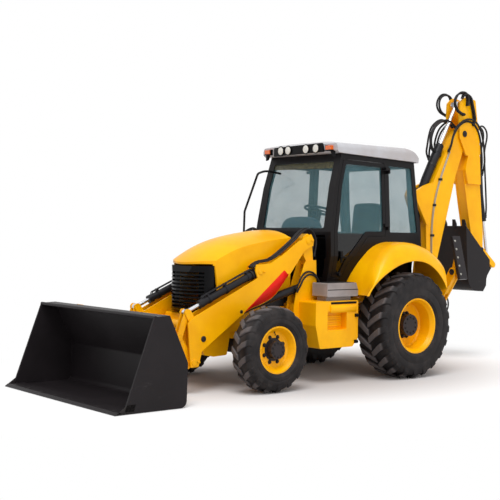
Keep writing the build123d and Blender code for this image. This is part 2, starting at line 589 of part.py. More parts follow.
screen_cut = front_plate(screen_outline, 1000, 1330, 30)
back_cut = front_plate(back_outline, 2500, 2800, 30)
knee_cut = front_plate(knee_outline, 1000, 1200, 15)
fixed_panes = pane & screen_cut
fixed_panes += pane & back_cut
fixed_panes += pane & knee_cut
fixed_panes += pane & mirror(knee_cut, about=Plane.YZ)
shell = walls - screen_cut - back_cut - knee_cut - mirror(knee_cut, about=Plane.YZ)
for side in (1, -1):
    shell -= side_cut(door_outline, 20, side)
    shell -= side_cut(quarter_outline, 20, side)
    fixed_panes += pane & side_cut(quarter_outline, 20, side)
cowl = box(-HOOD_HALF_W + 20, HOOD_HALF_W - 20, 800, 1085, 1000, 1700)
shell += cowl - cavity
ear = box(250, 282, 715, 805, HOOD_HINGE[1] - 40, HOOD_HINGE[1] + 20)
shell += both_sides(ear + cross_pin(HOOD_HINGE, HOOD_PIN_R, 250, 330))
# Hinge lugs on the door posts
HINGE_R = 14
for z in (1840, 2540):
    lug = box(CAB_HALF_W - 90, DOOR_HINGE[0], DOOR_HINGE[1] - 2, DOOR_HINGE[1] + 18, z - 20, z + 20)
    lug += upright_pin(*DOOR_HINGE, HINGE_R, z - 20, z + 20)
    lug -= cavity
    lug += upright_pin(*DOOR_HINGE, HINGE_R / 2, z - 20, z + 55)
    shell += both_sides(lug)
parts["cab_shell"] = shell
parts["cab_glass"] = fixed_panes

# Doors, hinged at their rear edge
door_face = make_face(Polyline(*door_outline, close=True))
door_face = offset(fillet(door_face.vertices(), 20), amount=-DOOR_GAP)
leaf_cut = extrude(Plane.YZ.offset(CAB_HALF_W - 240) * door_face, amount=350)
window_cut = side_cut(door_window, 30, 1)
door = (walls & leaf_cut) - window_cut
for z in (1840, 2540):
    strap_bar = box(CAB_HALF_W - 45, DOOR_HINGE[0] + 12, DOOR_HINGE[1] - 70, DOOR_HINGE[1] - 36, z + 21,
                    z + 55)
    strap_bar += box(DOOR_HINGE[0] - 12, DOOR_HINGE[0] + 12, DOOR_HINGE[1] - 40, DOOR_HINGE[1], z + 21,
                     z + 55)
    strap_bar += upright_pin(*DOOR_HINGE, HINGE_R, z + 21, z + 55)
    door += strap_bar - upright_pin(*DOOR_HINGE, HINGE_R / 2 + PIN_PLAY, z, z + 60)
door += cross_pin((1250, 1250 + 30), 20, CAB_HALF_W - 65, CAB_HALF_W - 20)
door_pane = pane & window_cut
for name, turn in (("left", False), ("right", True)):
    parts[f"door_{name}"] = mirror(door, about=Plane.YZ) if turn else door
    parts[f"door_glass_{name}"] = mirror(door_pane, about=Plane.YZ) if turn else door_pane

# Roof, with an upright front face that carries the lamps
LAMP_Y, LAMP_Z = 1165, 2790
ROOF_HALF_W = CAB_TOP_HALF_W + 45
roof_low = Polyline((2610, 2740), (2600, 2680), (2561, 2680), (2560, 2690), (1268, CAB_TOP),
                    (1190, CAB_TOP + 5), (LAMP_Y, 2765),
                    (LAMP_Y, 2848))
roof_top = Spline((LAMP_Y, 2848), (1250, 2878), (1760, 2905), (2166, 2886), (2535, 2807), (2610, 2740))
roof = extrude(Plane.YZ.offset(-ROOF_HALF_W) * make_face(roof_low + roof_top), amount=2 * ROOF_HALF_W)
roof_front = Polyline((ROOF_HALF_W, 2790), (ROOF_HALF_W, 2600), (-ROOF_HALF_W, 2600), (-ROOF_HALF_W, 2790))
crown = ThreePointArc((-ROOF_HALF_W + 70, 2862), (0, 2906), (ROOF_HALF_W - 70, 2862))
right_edge = ThreePointArc((-ROOF_HALF_W, 2790), (-ROOF_HALF_W + 18, 2838), (-ROOF_HALF_W + 70, 2862))
left_edge = ThreePointArc((ROOF_HALF_W - 70, 2862), (ROOF_HALF_W - 18, 2838), (ROOF_HALF_W, 2790))
roof &= extrude(Plane.XZ.offset(-1000) * make_face(roof_front + right_edge + crown + left_edge),
                amount=-1800)
parts["cab_roof"] = roof

# Inside the cab
WHEEL_CENTRE = (1528, 2059)
FLOOR_TOP = CAB_FLOOR + WALL
inside = side_plate([(1130, FLOOR_TOP), (1300, FLOOR_TOP), (1330, 1700), (1250, 1860), (1130, 1840)], -240,
                    240, 30)
inside += box(-60, 60, 1300, 1420, FLOOR_TOP, 1500)
inside += bar((0, 1360, 1480), (0, WHEEL_CENTRE[0], WHEEL_CENTRE[1]), 32)
lean = Plane(origin=(0, *WHEEL_CENTRE), z_dir=(0, WHEEL_CENTRE[0] - 1360, WHEEL_CENTRE[1] - 1480))
inside += lean * Torus(190, 15)
for turn in (90, 210, 330):
    inside += lean * Rot(0, 0, turn) * Pos(95, 0, 0) * Box(190, 26, 14)
inside += side_plate([(2400, FLOOR_TOP), (2520, FLOOR_TOP), (2580, 1500), (2540, 1690), (2440, 1690)], -230,
                     230, 20)
for x in (-90, 90):
    inside += bar((x, 2500, 1660), (x, 2440, 2010), 12)
    inside += Pos(x, 2440, 2010) * Sphere(24)
parts["cab_interior"] = inside
seat = box(-150, 150, 2020, 2300, FLOOR_TOP, 1560)
seat += side_plate([(1950, 1560), (2340, 1560), (2330, 1700), (2200, 1690), (1960, 1710)], -240, 240, 30)
seat += side_plate([(2290, 1640), (2380, 1640), (2425, 2180), (2390, 2230), (2330, 2190)], -230, 230, 25)
parts["operator_seat"] = seat

# Tanks, steps, lamps and the grab rail
TANK_OUT = 850
TANK_TOP = 980
TANK_END = WHEELBASE - REAR_TYRE_R - 150
tank = side_plate([(760, 430), (TANK_END - 90, 430), (TANK_END, 520), (TANK_END, TANK_TOP), (690, TANK_TOP),
                   (690, 700)], ARM_OUT, TANK_OUT, 25)
tank -= side_plate([(880, 640), (TANK_END - 190, 640), (TANK_END - 190, 860), (880, 860)], TANK_OUT - 90,
                   TANK_OUT + 10, 20)
parts["side_tanks"] = both_sides(tank)
step = side_plate([(850, 1030), (TANK_END - 30, 1030), (TANK_END - 25, 1100), (TANK_END - 60, 1190),
                   (850, 1190)], 615, TANK_OUT + 20, 12)
step += box(640, 800, 900, TANK_END - 80, TANK_TOP, 1040)
parts["steps"] = both_sides(step)
LAMP_R = 38
panel = box(-430, 430, LAMP_Y - 30, LAMP_Y, LAMP_Z - 60, LAMP_Z + 60)
for x in (-345, -230, 160, 300):
    panel += Pos(x, LAMP_Y - 34, LAMP_Z - 5) * Rot(90, 0, 0) * Cylinder(LAMP_R, 20)
parts["work_lamps"] = panel
parts["amber_lamps"] = both_sides(box(515, 607, LAMP_Y - 45, LAMP_Y, LAMP_Z - 20, LAMP_Z + 32))
RAIL_Y = 950
parts["grab_rail"] = bent_tube([(-385, 1200, 2520), (-385, RAIL_Y, 2546), (-536, RAIL_Y, 2516),
                                (-793, RAIL_Y, 2038), (-802, RAIL_Y, 1785),
                                (-802, RAIL_Y, 1190)], 14, 60)

# Swing post. The digging arm is drawn with y measured from the swing axis


def behind(shape):
    return Pos(0, SWING_Y, 0) * shape


def welded_beam(points, half_w):
    """A beam of two side plates, with the plates between them set in from their edges."""
    face = make_face(Polyline(*points, close=True))
    plate = extrude(Plane.YZ.offset(half_w - BEAM_PLATE) * face, amount=BEAM_PLATE)
    core_face = offset(face, amount=-BEAM_SET_IN, kind=Kind.INTERSECTION)
    core = extrude(Plane.YZ.offset(BEAM_PLATE - half_w) * core_face, amount=2 * (half_w - BEAM_PLATE))
    return both_sides(plate) + core


BEAM_PLATE = 14
BEAM_SET_IN = 11
EAR_GAP = 3
EAR_THICK = 32
BOOM_HALF_W = 95
POST_IN = BOOM_HALF_W + 8
POST_OUT = POST_IN + 27
post_side = [(158, 505), (250, 520), (270, 760), (220, 950), (150, 1125), (50, 1125), (40, 1012),
             (158, 1012), (158, 880),
             (90, 870), (90, 640), (158, 630)]
post = both_sides(side_plate(post_side, POST_IN, POST_OUT))
for z0 in (SWING_TOP, SWING_LOW):
    for low in (z0 - EAR_GAP - EAR_THICK, z0 + LUG_T + EAR_GAP):
        plate = box(-POST_OUT, POST_OUT, 0, 180, low, low + EAR_THICK) + upright_pin(0, 0, 90, low,
                                                                                     low + EAR_THICK)
        plate -= box(-POST_IN, POST_IN, 50, 190, low - 1, low + EAR_THICK + 1)
        post += plate
    post += upright_pin(0, 0, SWING_PIN_R, z0 - EAR_GAP - EAR_THICK, z0 + LUG_T + EAR_GAP + EAR_THICK + 10)
post += cross_pin(BOOM_FOOT, 40, -POST_OUT, POST_OUT)
post += cross_pin(BOOM_RAM_BASE, 28, -POST_OUT, POST_OUT)
post += box(-POST_OUT, POST_OUT, 210, 250, 505, 560)
parts["swing_post"] = behind(post)

# Boom
boom_outline = [(125, 660), (180, 640), (240, 660), (290, 1060), (327, 1386), (507, 1954), (704, 2590),
                (810, 2833), (930, 3140),
                (942, 3215), (910, 3280), (840, 3296), (770, 3270), (635, 3140), (483, 2913), (226, 2472),
                (190, 2330),
                (120, 2130), (100, 1889), (120, 1400), (150, 1060), (118, 760)]
boom = welded_beam(boom_outline, BOOM_HALF_W)
hump = [(100, 1900), (-86, 2193), (-132, 2300), (-100, 2370), (50, 2440), (210, 2490), (250, 2300),
        (150, 1900)]
boom += both_sides(side_plate(hump, 62, BOOM_HALF_W + 12, 20))
boom -= cross_pin(BOOM_FOOT, 40 + PIN_PLAY, -200, 200)
boom += cross_pin(DIPPER_RAM_BASE, 28, -BOOM_HALF_W, BOOM_HALF_W)
KNUCKLE_PIN_R = 38
FORK_IN = BOOM_HALF_W + 5
FORK_OUT = FORK_IN + 25
boom += cross_pin(KNUCKLE, KNUCKLE_PIN_R, -FORK_OUT, FORK_OUT)
boom -= cross_pin(DIPPER_RAM_BASE, 60, -60, 60)
boom += cross_pin(DIPPER_RAM_BASE, 28, -65, 65)
parts["boom"] = behind(boom)
boom_barrel, boom_rod = ram((0, *BOOM_RAM_BASE), (0, *BOOM_RAM_PIN), (1, 0, 0), 45, 28, 1084, 800, 46, 110,
                            110, 28)
parts["boom_barrel"] = behind(boom_barrel)
parts["boom_rod"] = behind(boom_rod)
dipper_barrel, dipper_rod = ram((0, *DIPPER_RAM_BASE), (0, *DIPPER_RAM_PIN), (1, 0, 0), 48, 28, 760, 75, 48,
                                110, 120, 28)
parts["dipper_barrel"] = behind(dipper_barrel)
parts["dipper_rod"] = behind(dipper_rod)

# Dipper
DIPPER_HALF_W = 85
fork_outline = [(900, 2900), (750, 3150), (740, 3500), (750, 3640), (820, 3700), (900, 3732), (1090, 3693),
                (1140, 3400), (1187, 3236),
                (1210, 2900)]
dipper = both_sides(side_plate(fork_outline, FORK_IN, FORK_OUT, 25))
dipper -= cross_pin(KNUCKLE, KNUCKLE_PIN_R + PIN_PLAY, -200, 200)
beam = [(980, 3000), (886, 2698), (980, 2240), (1065, 1883), (1210, 1330), (1230, 1230), (1270, 1185),
        (1340, 1190), (1365, 1260), (1360, 1500),
        (1356, 1785), (1270, 2500), (1206, 3050), (1187, 3236), (1150, 3500), (1090, 3600), (1030, 3500),
        (1050, 3100)]
dipper += welded_beam(beam, DIPPER_HALF_W)
spread = [(950, 2905), (890, 2700), (950, 2500), (1240, 2500), (1210, 2905)]
dipper += both_sides(side_plate(spread, DIPPER_HALF_W - 5, FORK_OUT))
HOE_PIN_R = 28
HOE_LUG_IN = DIPPER_HALF_W + 4
HOE_LUG_OUT = HOE_LUG_IN + 22
dipper += cross_pin(HOE_HINGE, HOE_PIN_R, -HOE_LUG_OUT, HOE_LUG_OUT)
IDLER_IN = DIPPER_HALF_W + 18
IDLER_OUT = IDLER_IN + 14
dipper += cross_pin(IDLER_PIVOT, HOE_PIN_R, -IDLER_OUT, IDLER_OUT)
ram_lug = [(1190, 3150), (1275, 3055), (1318, 3000), (1290, 2950), (1200, 2900), (1150, 3000)]
dipper += both_sides(side_plate(ram_lug, 55, 80, 15))
dipper -= cross_pin(HOE_RAM_BASE, 56, -55, 55)
dipper += cross_pin(HOE_RAM_BASE, 26, -70, 70)
parts["dipper"] = behind(dipper)
hoe_barrel, hoe_rod = ram((0, *HOE_RAM_BASE), (0, *IDLER_PIN), (1, 0, 0), 42, 25, 1040, 390, 42, 100, 76, 26)
parts["hoe_barrel"] = behind(hoe_barrel)
parts["hoe_rod"] = behind(hoe_rod)
idler = strap(IDLER_PIVOT, IDLER_PIN, 48, 42, IDLER_IN, IDLER_OUT, HOE_PIN_R, 0)
idler += cross_pin(IDLER_PIN, 42, 70, IDLER_IN)
parts["hoe_lever"] = behind(both_sides(idler))
hoe_link = both_sides(strap(IDLER_PIN, HOE_LINK_PIN, 40, 38, 44, 66, 0, HOE_PIN_R - 4))
hoe_link += strap(toward(IDLER_PIN, HOE_LINK_PIN, 130), toward(IDLER_PIN, HOE_LINK_PIN, 300), 30, 30, -45,
                  45, 0, 0)
parts["hoe_link"] = behind(hoe_link)

# Hoe bucket
HOE_HALF_W = 300
HOE_PLATE = 18
hoe_back = Spline((707, 1898), (728, 1600), (755, 1290), (800, 1080), (890, 998), (1000, 978), (1109, 972))
hoe_mouth = Polyline((1109, 972), (1174, 1054), (1180, 1150), (1250, 1330), (1250, 1420), (707, 1898))
hoe_face = make_face(hoe_back + hoe_mouth)
hollow_back = Spline((725, 1950), (748, 1600), (774, 1292), (818, 1092), (900, 1019), (1003, 997),
                     (1100, 992))
hollow_mouth = Polyline((1100, 992), (1155, 1062), (1162, 1132), (1300, 1330), (1300, 1450), (725, 1950))
hoe = extrude(Plane.YZ.offset(-HOE_HALF_W) * hoe_face, amount=2 * HOE_HALF_W)
hollow_w = 2 * (HOE_HALF_W - HOE_PLATE)
hoe -= extrude(Plane.YZ.offset(-hollow_w / 2) * make_face(hollow_back + hollow_mouth), amount=hollow_w)
hoe_lug = [(1150, 1060), (1180, 1150), (1220, 1230), (1270, 1300), (1330, 1300), (1355, 1250), (1355, 1000),
           (1320, 965), (1260, 965), (1100, 975)]
hoe += both_sides(side_plate(hoe_lug, HOE_LUG_IN, HOE_LUG_OUT, 12))
hoe -= cross_pin(HOE_HINGE, HOE_PIN_R + PIN_PLAY, -200, 200)
hoe += cross_pin(HOE_LINK_PIN, HOE_PIN_R - 4, -HOE_LUG_OUT, HOE_LUG_OUT)
for x in (-255, -85, 85, 255):
    hoe += side_plate([(698, 1990), (702, 1860), (745, 1860), (732, 1930)], x - 28, x + 28)
parts["hoe_bucket"] = behind(hoe)

# Stabilisers: a leg with its pad folded up, moved by a cylinder
LEG_T = 25


def end_plate(p, q, rp, rq, y0, y1):
    """A plate with rounded ends about p and q in the x-z plane."""
    length = hypot(q[0] - p[0], q[1] - p[1])
    nx, nz = -(q[1] - p[1]) / length, (q[0] - p[0]) / length
    body = front_plate([(p[0] + nx * rp, p[1] + nz * rp), (q[0] + nx * rq, q[1] + nz * rq),
                        (q[0] - nx * rq, q[1] - nz * rq), (p[0] - nx * rp, p[1] - nz * rp)], y0, y1)
    for at, r in ((p, rp), (q, rq)):
        body += Pos(at[0], (y0 + y1) / 2, at[1]) * Rot(90, 0, 0) * Cylinder(r, y1 - y0)
    return body


leg = end_plate(toward(STAB_PIVOT, STAB_FOOT, 480), toward(STAB_PIVOT, STAB_FOOT, 690), 45, 45, STAB_Y - 32,
                STAB_Y + 32)
for y0 in (STAB_Y - STAB_HALF_W, STAB_Y + STAB_HALF_W - LEG_T):
    leg += end_plate(STAB_PIVOT, STAB_FOOT, 50, 55, y0, y0 + LEG_T)
    leg += end_plate(STAB_RAM_PIN, toward(STAB_PIVOT, STAB_FOOT, 330), 36, 40, y0, y0 + LEG_T)
pad = Pos(STAB_FOOT[0] + 60, STAB_Y, STAB_FOOT[1] + 180) * Rot(0, -14, 0) * Box(40, 150, 560)
pad_lug = front_plate([(STAB_FOOT[0] - 40, STAB_FOOT[1] - 30), (STAB_FOOT[0] + 50, STAB_FOOT[1] - 60),
                       (STAB_FOOT[0] + 100, STAB_FOOT[1] + 100),
                       (STAB_FOOT[0] + 20, STAB_FOOT[1] + 220)], STAB_Y - 30, STAB_Y + 30)
leg += pad_lug + pad
leg -= Pos(STAB_PIVOT[0], STAB_Y, STAB_PIVOT[1]) * Rot(90, 0, 0) * Cylinder(STAB_PIN_R + PIN_PLAY, 400)
stab_barrel, stab_rod = ram((STAB_RAM_BASE[0], STAB_Y, STAB_RAM_BASE[1]),
                            (STAB_RAM_PIN[0], STAB_Y, STAB_RAM_PIN[1]), (0, 1, 0),
                            40, 24, 557, 480, 36, 100, 54, STAB_PIN_R)
for name, turn in (("left", False), ("right", True)):
    for piece, shape in (("stabiliser", leg), ("stabiliser_barrel", stab_barrel),
                         ("stabiliser_rod", stab_rod)):
        parts[f"{piece}_{name}"] = mirror(shape, about=Plane.YZ) if turn else shape


def save(name, shape):
    os.makedirs("parts", exist_ok=True)
    export_step(Pos(0, -MIDDLE_Y, 0) * shape, f"parts/{name}.step")


for name, shape in parts.items():
    save(name, shape)
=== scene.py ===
"""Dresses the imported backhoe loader: finishes on its parts, and the small pieces that they leave out."""

import itertools
import math

import bmesh
import bpy
from mathutils import Matrix, Vector


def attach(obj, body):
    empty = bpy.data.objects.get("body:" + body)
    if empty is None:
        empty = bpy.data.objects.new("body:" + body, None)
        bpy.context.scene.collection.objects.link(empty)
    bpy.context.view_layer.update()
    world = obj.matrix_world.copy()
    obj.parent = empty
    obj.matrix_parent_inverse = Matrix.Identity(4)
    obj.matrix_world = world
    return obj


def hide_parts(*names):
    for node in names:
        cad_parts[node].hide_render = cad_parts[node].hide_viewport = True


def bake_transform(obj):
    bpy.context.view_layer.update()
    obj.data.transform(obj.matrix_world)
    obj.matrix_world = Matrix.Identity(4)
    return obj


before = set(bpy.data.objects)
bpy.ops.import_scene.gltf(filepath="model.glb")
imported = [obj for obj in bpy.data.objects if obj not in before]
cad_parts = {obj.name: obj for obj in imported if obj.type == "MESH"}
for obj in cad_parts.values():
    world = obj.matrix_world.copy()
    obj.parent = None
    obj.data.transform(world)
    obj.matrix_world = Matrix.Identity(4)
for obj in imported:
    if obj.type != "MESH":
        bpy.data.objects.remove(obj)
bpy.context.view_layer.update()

bl_info = {
    "name": "Backhoe loader",
    "version": (1, 0, 0),
    "blender": (4, 5, 0),
    "location": "3D View > Sidebar > Backhoe loader",
    "description": "Finishes and fittings for a backhoe loader",
    "category": "Object",
}

# Millimetres behind the front axle of the point that the frame is centred on
MIDDLE_Y = 1392.5

# Wheels in millimetres: disc is how far out from the wheel's middle the flat of the rim lies
FRONT = {"radius": 480, "width": 310, "rim": 250, "disc": 60, "x": 860, "y": 0,
         "depth": 26, "bar": 62, "slant": 95}
REAR = {"radius": 650, "width": 480, "rim": 325, "disc": 30, "x": 860, "y": 2180,
        "depth": 38, "bar": 74, "slant": 150}

# Loader arms in millimetres from the middle: their inner and outer faces and their tilt cylinders
ARM_INNER = 420
ARM_OUTER = 560
TILT_X = 490
TILT_BASE = Vector((95, 1322))
TILT_TIP = Vector((-901, 895))

# The dipper's cylinder in millimetres: its base and its tip behind the axle and above the ground
DIPPER_BASE = Vector((3443, 2373))
DIPPER_TIP = Vector((4162, 3616))

# The round lamps on the cab's panel in millimetres
LAMPS = (-305, -168, 160, 338)
LAMP_Z = 2798

# The height in metres of the cab's belt line, below which the glass is painted near black and made denser, a
# painted dark reflection and shade
BELT = 1.79

# A stabiliser's slope: x and z of the direction square to its folded pad, and where the pad starts
PAD_OUT = (0.97, 0.242)
PAD_START = 1.3745

# The camera: lens in millimetres, place in metres, and yaw, pitch and roll in degrees
LENS = 74.42
CAMERA_AT = (9.5343, -8.854, 1.7799)
CAMERA_TURN = (-50.509, -1.0255, 0.759)


def at(x, y, z):
    """A point in the frame's metres from millimetres left, behind the front axle and above the ground."""
    return Vector((x, y - MIDDLE_Y, z)) / 1000


def shade(r, g, b):
    """A colour from 0 to 255 as a monitor shows it, in the linear values that shaders take."""
    return tuple(((c / 255 + 0.055) / 1.055) ** 2.4 if c > 10 else c / 255 / 12.92 for c in (r, g, b))


# Shader values


class Value:
    """A socket of a shader tree that arithmetic can be written on."""

    def __init__(self, tree, socket):
        self.tree = tree
        self.socket = socket

    def _maths(self, operation, first, second):
        return node(self.tree, "ShaderNodeMath", {"operation": operation}, {0: first, 1: second})

    def __add__(self, other):
        return self._maths("ADD", self, other)

    def __radd__(self, other):
        return self._maths("ADD", other, self)

    def __sub__(self, other):
        return self._maths("SUBTRACT", self, other)

    def __rsub__(self, other):
        return self._maths("SUBTRACT", other, self)

    def __mul__(self, other):
        return self._maths("MULTIPLY", self, other)

    def __rmul__(self, other):
        return self._maths("MULTIPLY", other, self)


def node(tree, kind, settings=None, inputs=None, output=0):
    """A new node of that type: its settings first, then a value or a link for each input named."""
    made = tree.nodes.new(kind)
    for name, setting in (settings or {}).items():
        setattr(made, name, setting)
    for name, given in (inputs or {}).items():
        if isinstance(given, Value):
            tree.links.new(given.socket, made.inputs[name])
        else:
            made.inputs[name].default_value = given
    return Value(tree, made.outputs[output])


def smooth(value, low, high):
    """0 below low, 1 above high and a soft step between."""
    return node(value.tree, "ShaderNodeMapRange", {"interpolation_type": "SMOOTHSTEP"},
                {"Value": value, "From Min": low, "From Max": high})


def blend_colours(factor, first, second):
    """The first colour where factor is 0 and the second where it is 1."""
    tree = factor.tree
    made = tree.nodes.new("ShaderNodeMix")
    made.data_type = "RGBA"
    tree.links.new(factor.socket, made.inputs[0])
    for socket, given in ((made.inputs[6], first), (made.inputs[7], second)):
        if isinstance(given, Value):
            tree.links.new(given.socket, socket)
        else:
            socket.default_value = (*given, 1)
    return Value(tree, made.outputs[2])


def place(tree):
    """Where a point lies on its piece, which is in the frame's metres while nothing has moved."""
    return node(tree, "ShaderNodeTexCoord", output=3)


def parts_of(vector):
    """The three numbers of a vector."""
    return [node(vector.tree, "ShaderNodeSeparateXYZ", None, {0: vector}, output=i) for i in range(3)]


def maths(operation, value):
    """A function of one value, such as its sine."""
    return node(value.tree, "ShaderNodeMath", {"operation": operation}, {0: value})


def noise(tree, scale, detail=3.0, rough=0.5, stretch=(1, 1, 1)):
    """Cloudy noise from 0 to 1, stretched along the axes if asked."""
    where = place(tree)
    if stretch != (1, 1, 1):
        where = node(tree, "ShaderNodeVectorMath", {"operation": "MULTIPLY"}, {0: where, 1: stretch})
    return node(tree, "ShaderNodeTexNoise", None,
                {"Vector": where, "Scale": scale, "Detail": detail, "Roughness": rough})


def distance_from_axle(tree, y, z):
    """The distance in metres from an axle across the machine."""
    centre = at(0, y, z)
    _, ys, zs = parts_of(place(tree))
    back, up = ys - centre.y, zs - centre.z
    return maths("SQRT", back * back + up * up)


def tinted(colour, share):
    """That colour times share, no brighter than 1."""
    return tuple(min(1, c * share) for c in colour)


class Finish:
    """One material: its shader, with what varies over the surface linked and the rest set."""

    def __init__(self, name, **fixed):
        self.material = bpy.data.materials.new(name)
        self.material.use_nodes = True
        finishes[name] = self.material
        self.tree = self.material.node_tree
        self.tree.nodes.clear()
        self.shader = self.tree.nodes.new("ShaderNodeBsdfPrincipled")
        out = self.tree.nodes.new("ShaderNodeOutputMaterial")
        self.tree.links.new(self.shader.outputs[0], out.inputs[0])
        for name, value in fixed.items():
            self.set(name.replace("_", " ").title().replace("Ior", "IOR"), value)

    def set(self, name, value):
        socket = self.shader.inputs[name]
        if isinstance(value, Value):
            self.tree.links.new(value.socket, socket)
        elif isinstance(value, tuple) and len(value) == 3:
            socket.default_value = (*value, 1)
        else:
            socket.default_value = value

    def bump(self, height, distance, strength=1.0, edge=0.0):
        inputs = {"Height": height, "Distance": distance, "Strength": strength}
        if edge:
            inputs["Normal"] = node(self.tree, "ShaderNodeBevel", {"samples": 4}, {"Radius": edge})
        self.set("Normal", node(self.tree, "ShaderNodeBump", None, inputs))

    def soft_edges(self, radius):
        self.set("Normal", node(self.tree, "ShaderNodeBevel", {"samples": 4}, {"Radius": radius}))


# Every material that is made, by its name
finishes = {}


def paint(name, colour, roughness=0.36, coat=0.1, dust=0.14, edge=0.004):
    """Sprayed enamel: a slight peel, a little unevenness, and dust that thins out with height."""
    finish = Finish(name, coat_roughness=0.14, specular_ior_level=0.16)
    tree = finish.tree
    cloud = noise(tree, 1.9, 4, 0.6)
    deep = tuple(c * k for c, k in zip(colour, (0.9, 0.84, 0.8)))
    tone = blend_colours(smooth(cloud, 0.3, 0.7), deep, tinted(colour, 1.05))
    height = parts_of(place(tree))[2]
    grime = smooth(height * -1 + 0.95, 0, 0.9) * smooth(noise(tree, 9, 6, 0.7), 0.42, 0.75) * dust
    finish.set("Base Color", blend_colours(grime, tone, shade(118, 84, 44)))
    finish.set("Roughness", grime * 0.5 + noise(tree, 30, 3) * 0.08 + (roughness - 0.04))
    finish.set("Coat Weight", coat - grime * coat)
    finish.bump(noise(tree, 260, 2), 0.0006, 0.25, edge)
    return finish


def black_metal(name, colour, roughness=0.5, scuff=0.3, edge=0.003):
    """Black enamel on steel that is scuffed in streaks."""
    finish = Finish(name, specular_ior_level=0.2)
    tree = finish.tree
    streak = noise(tree, 9, 8, 0.72, (1, 0.5, 1.6))
    cloud = noise(tree, 2.4, 4, 0.6)
    worn = smooth(streak, 0.6, 0.84) * scuff
    tone = blend_colours(smooth(cloud, 0.3, 0.72), tinted(colour, 0.86), tinted(colour, 1.16))
    finish.set("Base Color", blend_colours(worn, tone, shade(92, 86, 84)))
    finish.set("Roughness", roughness + worn * -0.3 + (cloud - 0.5) * 0.14)
    finish.bump(streak * 0.6 + noise(tree, 190, 2) * 0.4, 0.0012, 0.3, edge)
    return finish


def rubber(name, colour, spec=None):
    """Rubber with a fine grain. On a tyre the tops of the lugs are painted a lighter grey as a painted
    highlight.
    """
    finish = Finish(name, specular_ior_level=0.22)
    tree = finish.tree
    blotch = noise(tree, 5, 6, 0.65)
    grain = noise(tree, 120, 4, 0.7)
    dusty = smooth(blotch, 0.4, 0.72)
    tone = blend_colours(dusty * 0.3, colour, shade(84, 78, 76))
    if spec:
        reach = spec["radius"] / 1000
        # Painted highlight: the tops of the lugs are painted a lighter grey.
        lug_top_highlight = smooth(distance_from_axle(tree, spec["y"], spec["radius"]), reach - 0.03, reach - 0.006)
        tone = blend_colours(lug_top_highlight * (0.75 + (blotch - 0.5) * 0.6), tone, shade(104, 98, 98))
    finish.set("Base Color", tone)
    finish.set("Roughness", 0.55 + dusty * 0.2 + (grain - 0.5) * 0.1)
    finish.bump(grain, 0.0008, 0.35, 0.004)
    return finish


def moulded(name, colour, roughness=0.6, grain=420, gloss=0.3):
    """Moulded plastic with a leather-like grain."""
    finish = Finish(name, specular_ior_level=gloss)
    tree = finish.tree
    cells = node(tree, "ShaderNodeTexVoronoi", None, {"Vector": place(tree), "Scale": float(grain)})
    cloud = noise(tree, 4, 4)
    tone = blend_colours(smooth(cloud, 0.3, 0.7), tinted(colour, 0.85), tinted(colour, 1.15))
    finish.set("Base Color", tone)
    finish.set("Roughness", roughness + (cloud - 0.5) * 0.12)
    finish.bump(cells, 0.0006, 0.3, 0.003)
    return finish


def polished(name, colour, roughness=0.18, brushed=(1, 30, 30)):
    """Bright metal with fine drawn marks."""
    finish = Finish(name, metallic=1.0)
    tree = finish.tree
    marks = noise(tree, 12, 3, 0.6, brushed)
    finish.set("Base Color", blend_colours(marks, tinted(colour, 0.82), colour))
    finish.set("Roughness", roughness + marks * 0.14)
    finish.soft_edges(0.002)
    return finish


def glazing(name, colour, alpha, roughness=0.03):
    """Tinted safety glass with a thin film of dust, painted near black and made denser below the belt line as
    a painted dark reflection and shade.
    """
    finish = Finish(name, ior=1.5, specular_ior_level=0.5)
    tree = finish.tree
    film = smooth(noise(tree, 3.5, 5, 0.6), 0.35, 0.8)
    # Painted dark reflection and shade: below the belt line the glass is painted near black and made denser.
    low = 1 - smooth(parts_of(place(tree))[2], BELT - 0.03, BELT + 0.01)
    tint = blend_colours(film * 0.35, colour, tinted(colour, 1.4))
    finish.set("Base Color", blend_colours(low, tint, shade(5, 5, 6)))
    finish.set("Roughness", film * 0.05 + roughness)
    finish.set("Alpha", film * 0.06 + low * (0.9 - alpha) + (alpha - 0.03))
    return finish


def woven(name, colour):
    """Seat cloth: two sets of threads that cross, with a soft sheen."""
    finish = Finish(name, sheen_weight=0.4, sheen_roughness=0.5, specular_ior_level=0.2)
    tree = finish.tree
    xs, ys, zs = parts_of(place(tree))
    weave = maths("SINE", xs * 1900) * maths("SINE", (ys + zs) * 1900)
    cloud = noise(tree, 6, 4)
    pale = tuple(c * 1.9 + 0.004 for c in colour)
    finish.set("Base Color", blend_colours(weave * 0.25 + smooth(cloud, 0.3, 0.7) * 0.4, colour, pale))
    finish.set("Roughness", 0.85 + (cloud - 0.5) * 0.1)
    finish.bump(weave, 0.0006, 0.6)
    return finish


def lens(name, colour):
    """A lamp glass pressed with small squares."""
    finish = Finish(name, ior=1.5, coat_weight=0.8, coat_roughness=0.05)
    tree = finish.tree
    xs, _, zs = parts_of(place(tree))
    pattern = maths("SINE", xs * 900) * maths("SINE", zs * 900)
    finish.set("Base Color", blend_colours(pattern * 0.3 + 0.3, colour, tinted(colour, 0.62)))
    finish.set("Roughness", 0.16 + pattern * 0.04)
    finish.bump(pattern, 0.001, 0.4)
    return finish


def mottled(name, dark, light):
    """A printed film of fine dark spots on a paler ground."""
    finish = Finish(name, specular_ior_level=0.3)
    tree = finish.tree
    spots = smooth(noise(tree, 60, 5, 0.7), 0.44, 0.58)
    finish.set("Base Color", blend_colours(spots, dark, light))
    finish.set("Roughness", spots * 0.1 + 0.3)
    finish.bump(spots, 0.0002, 0.2)
    return finish


# Properties


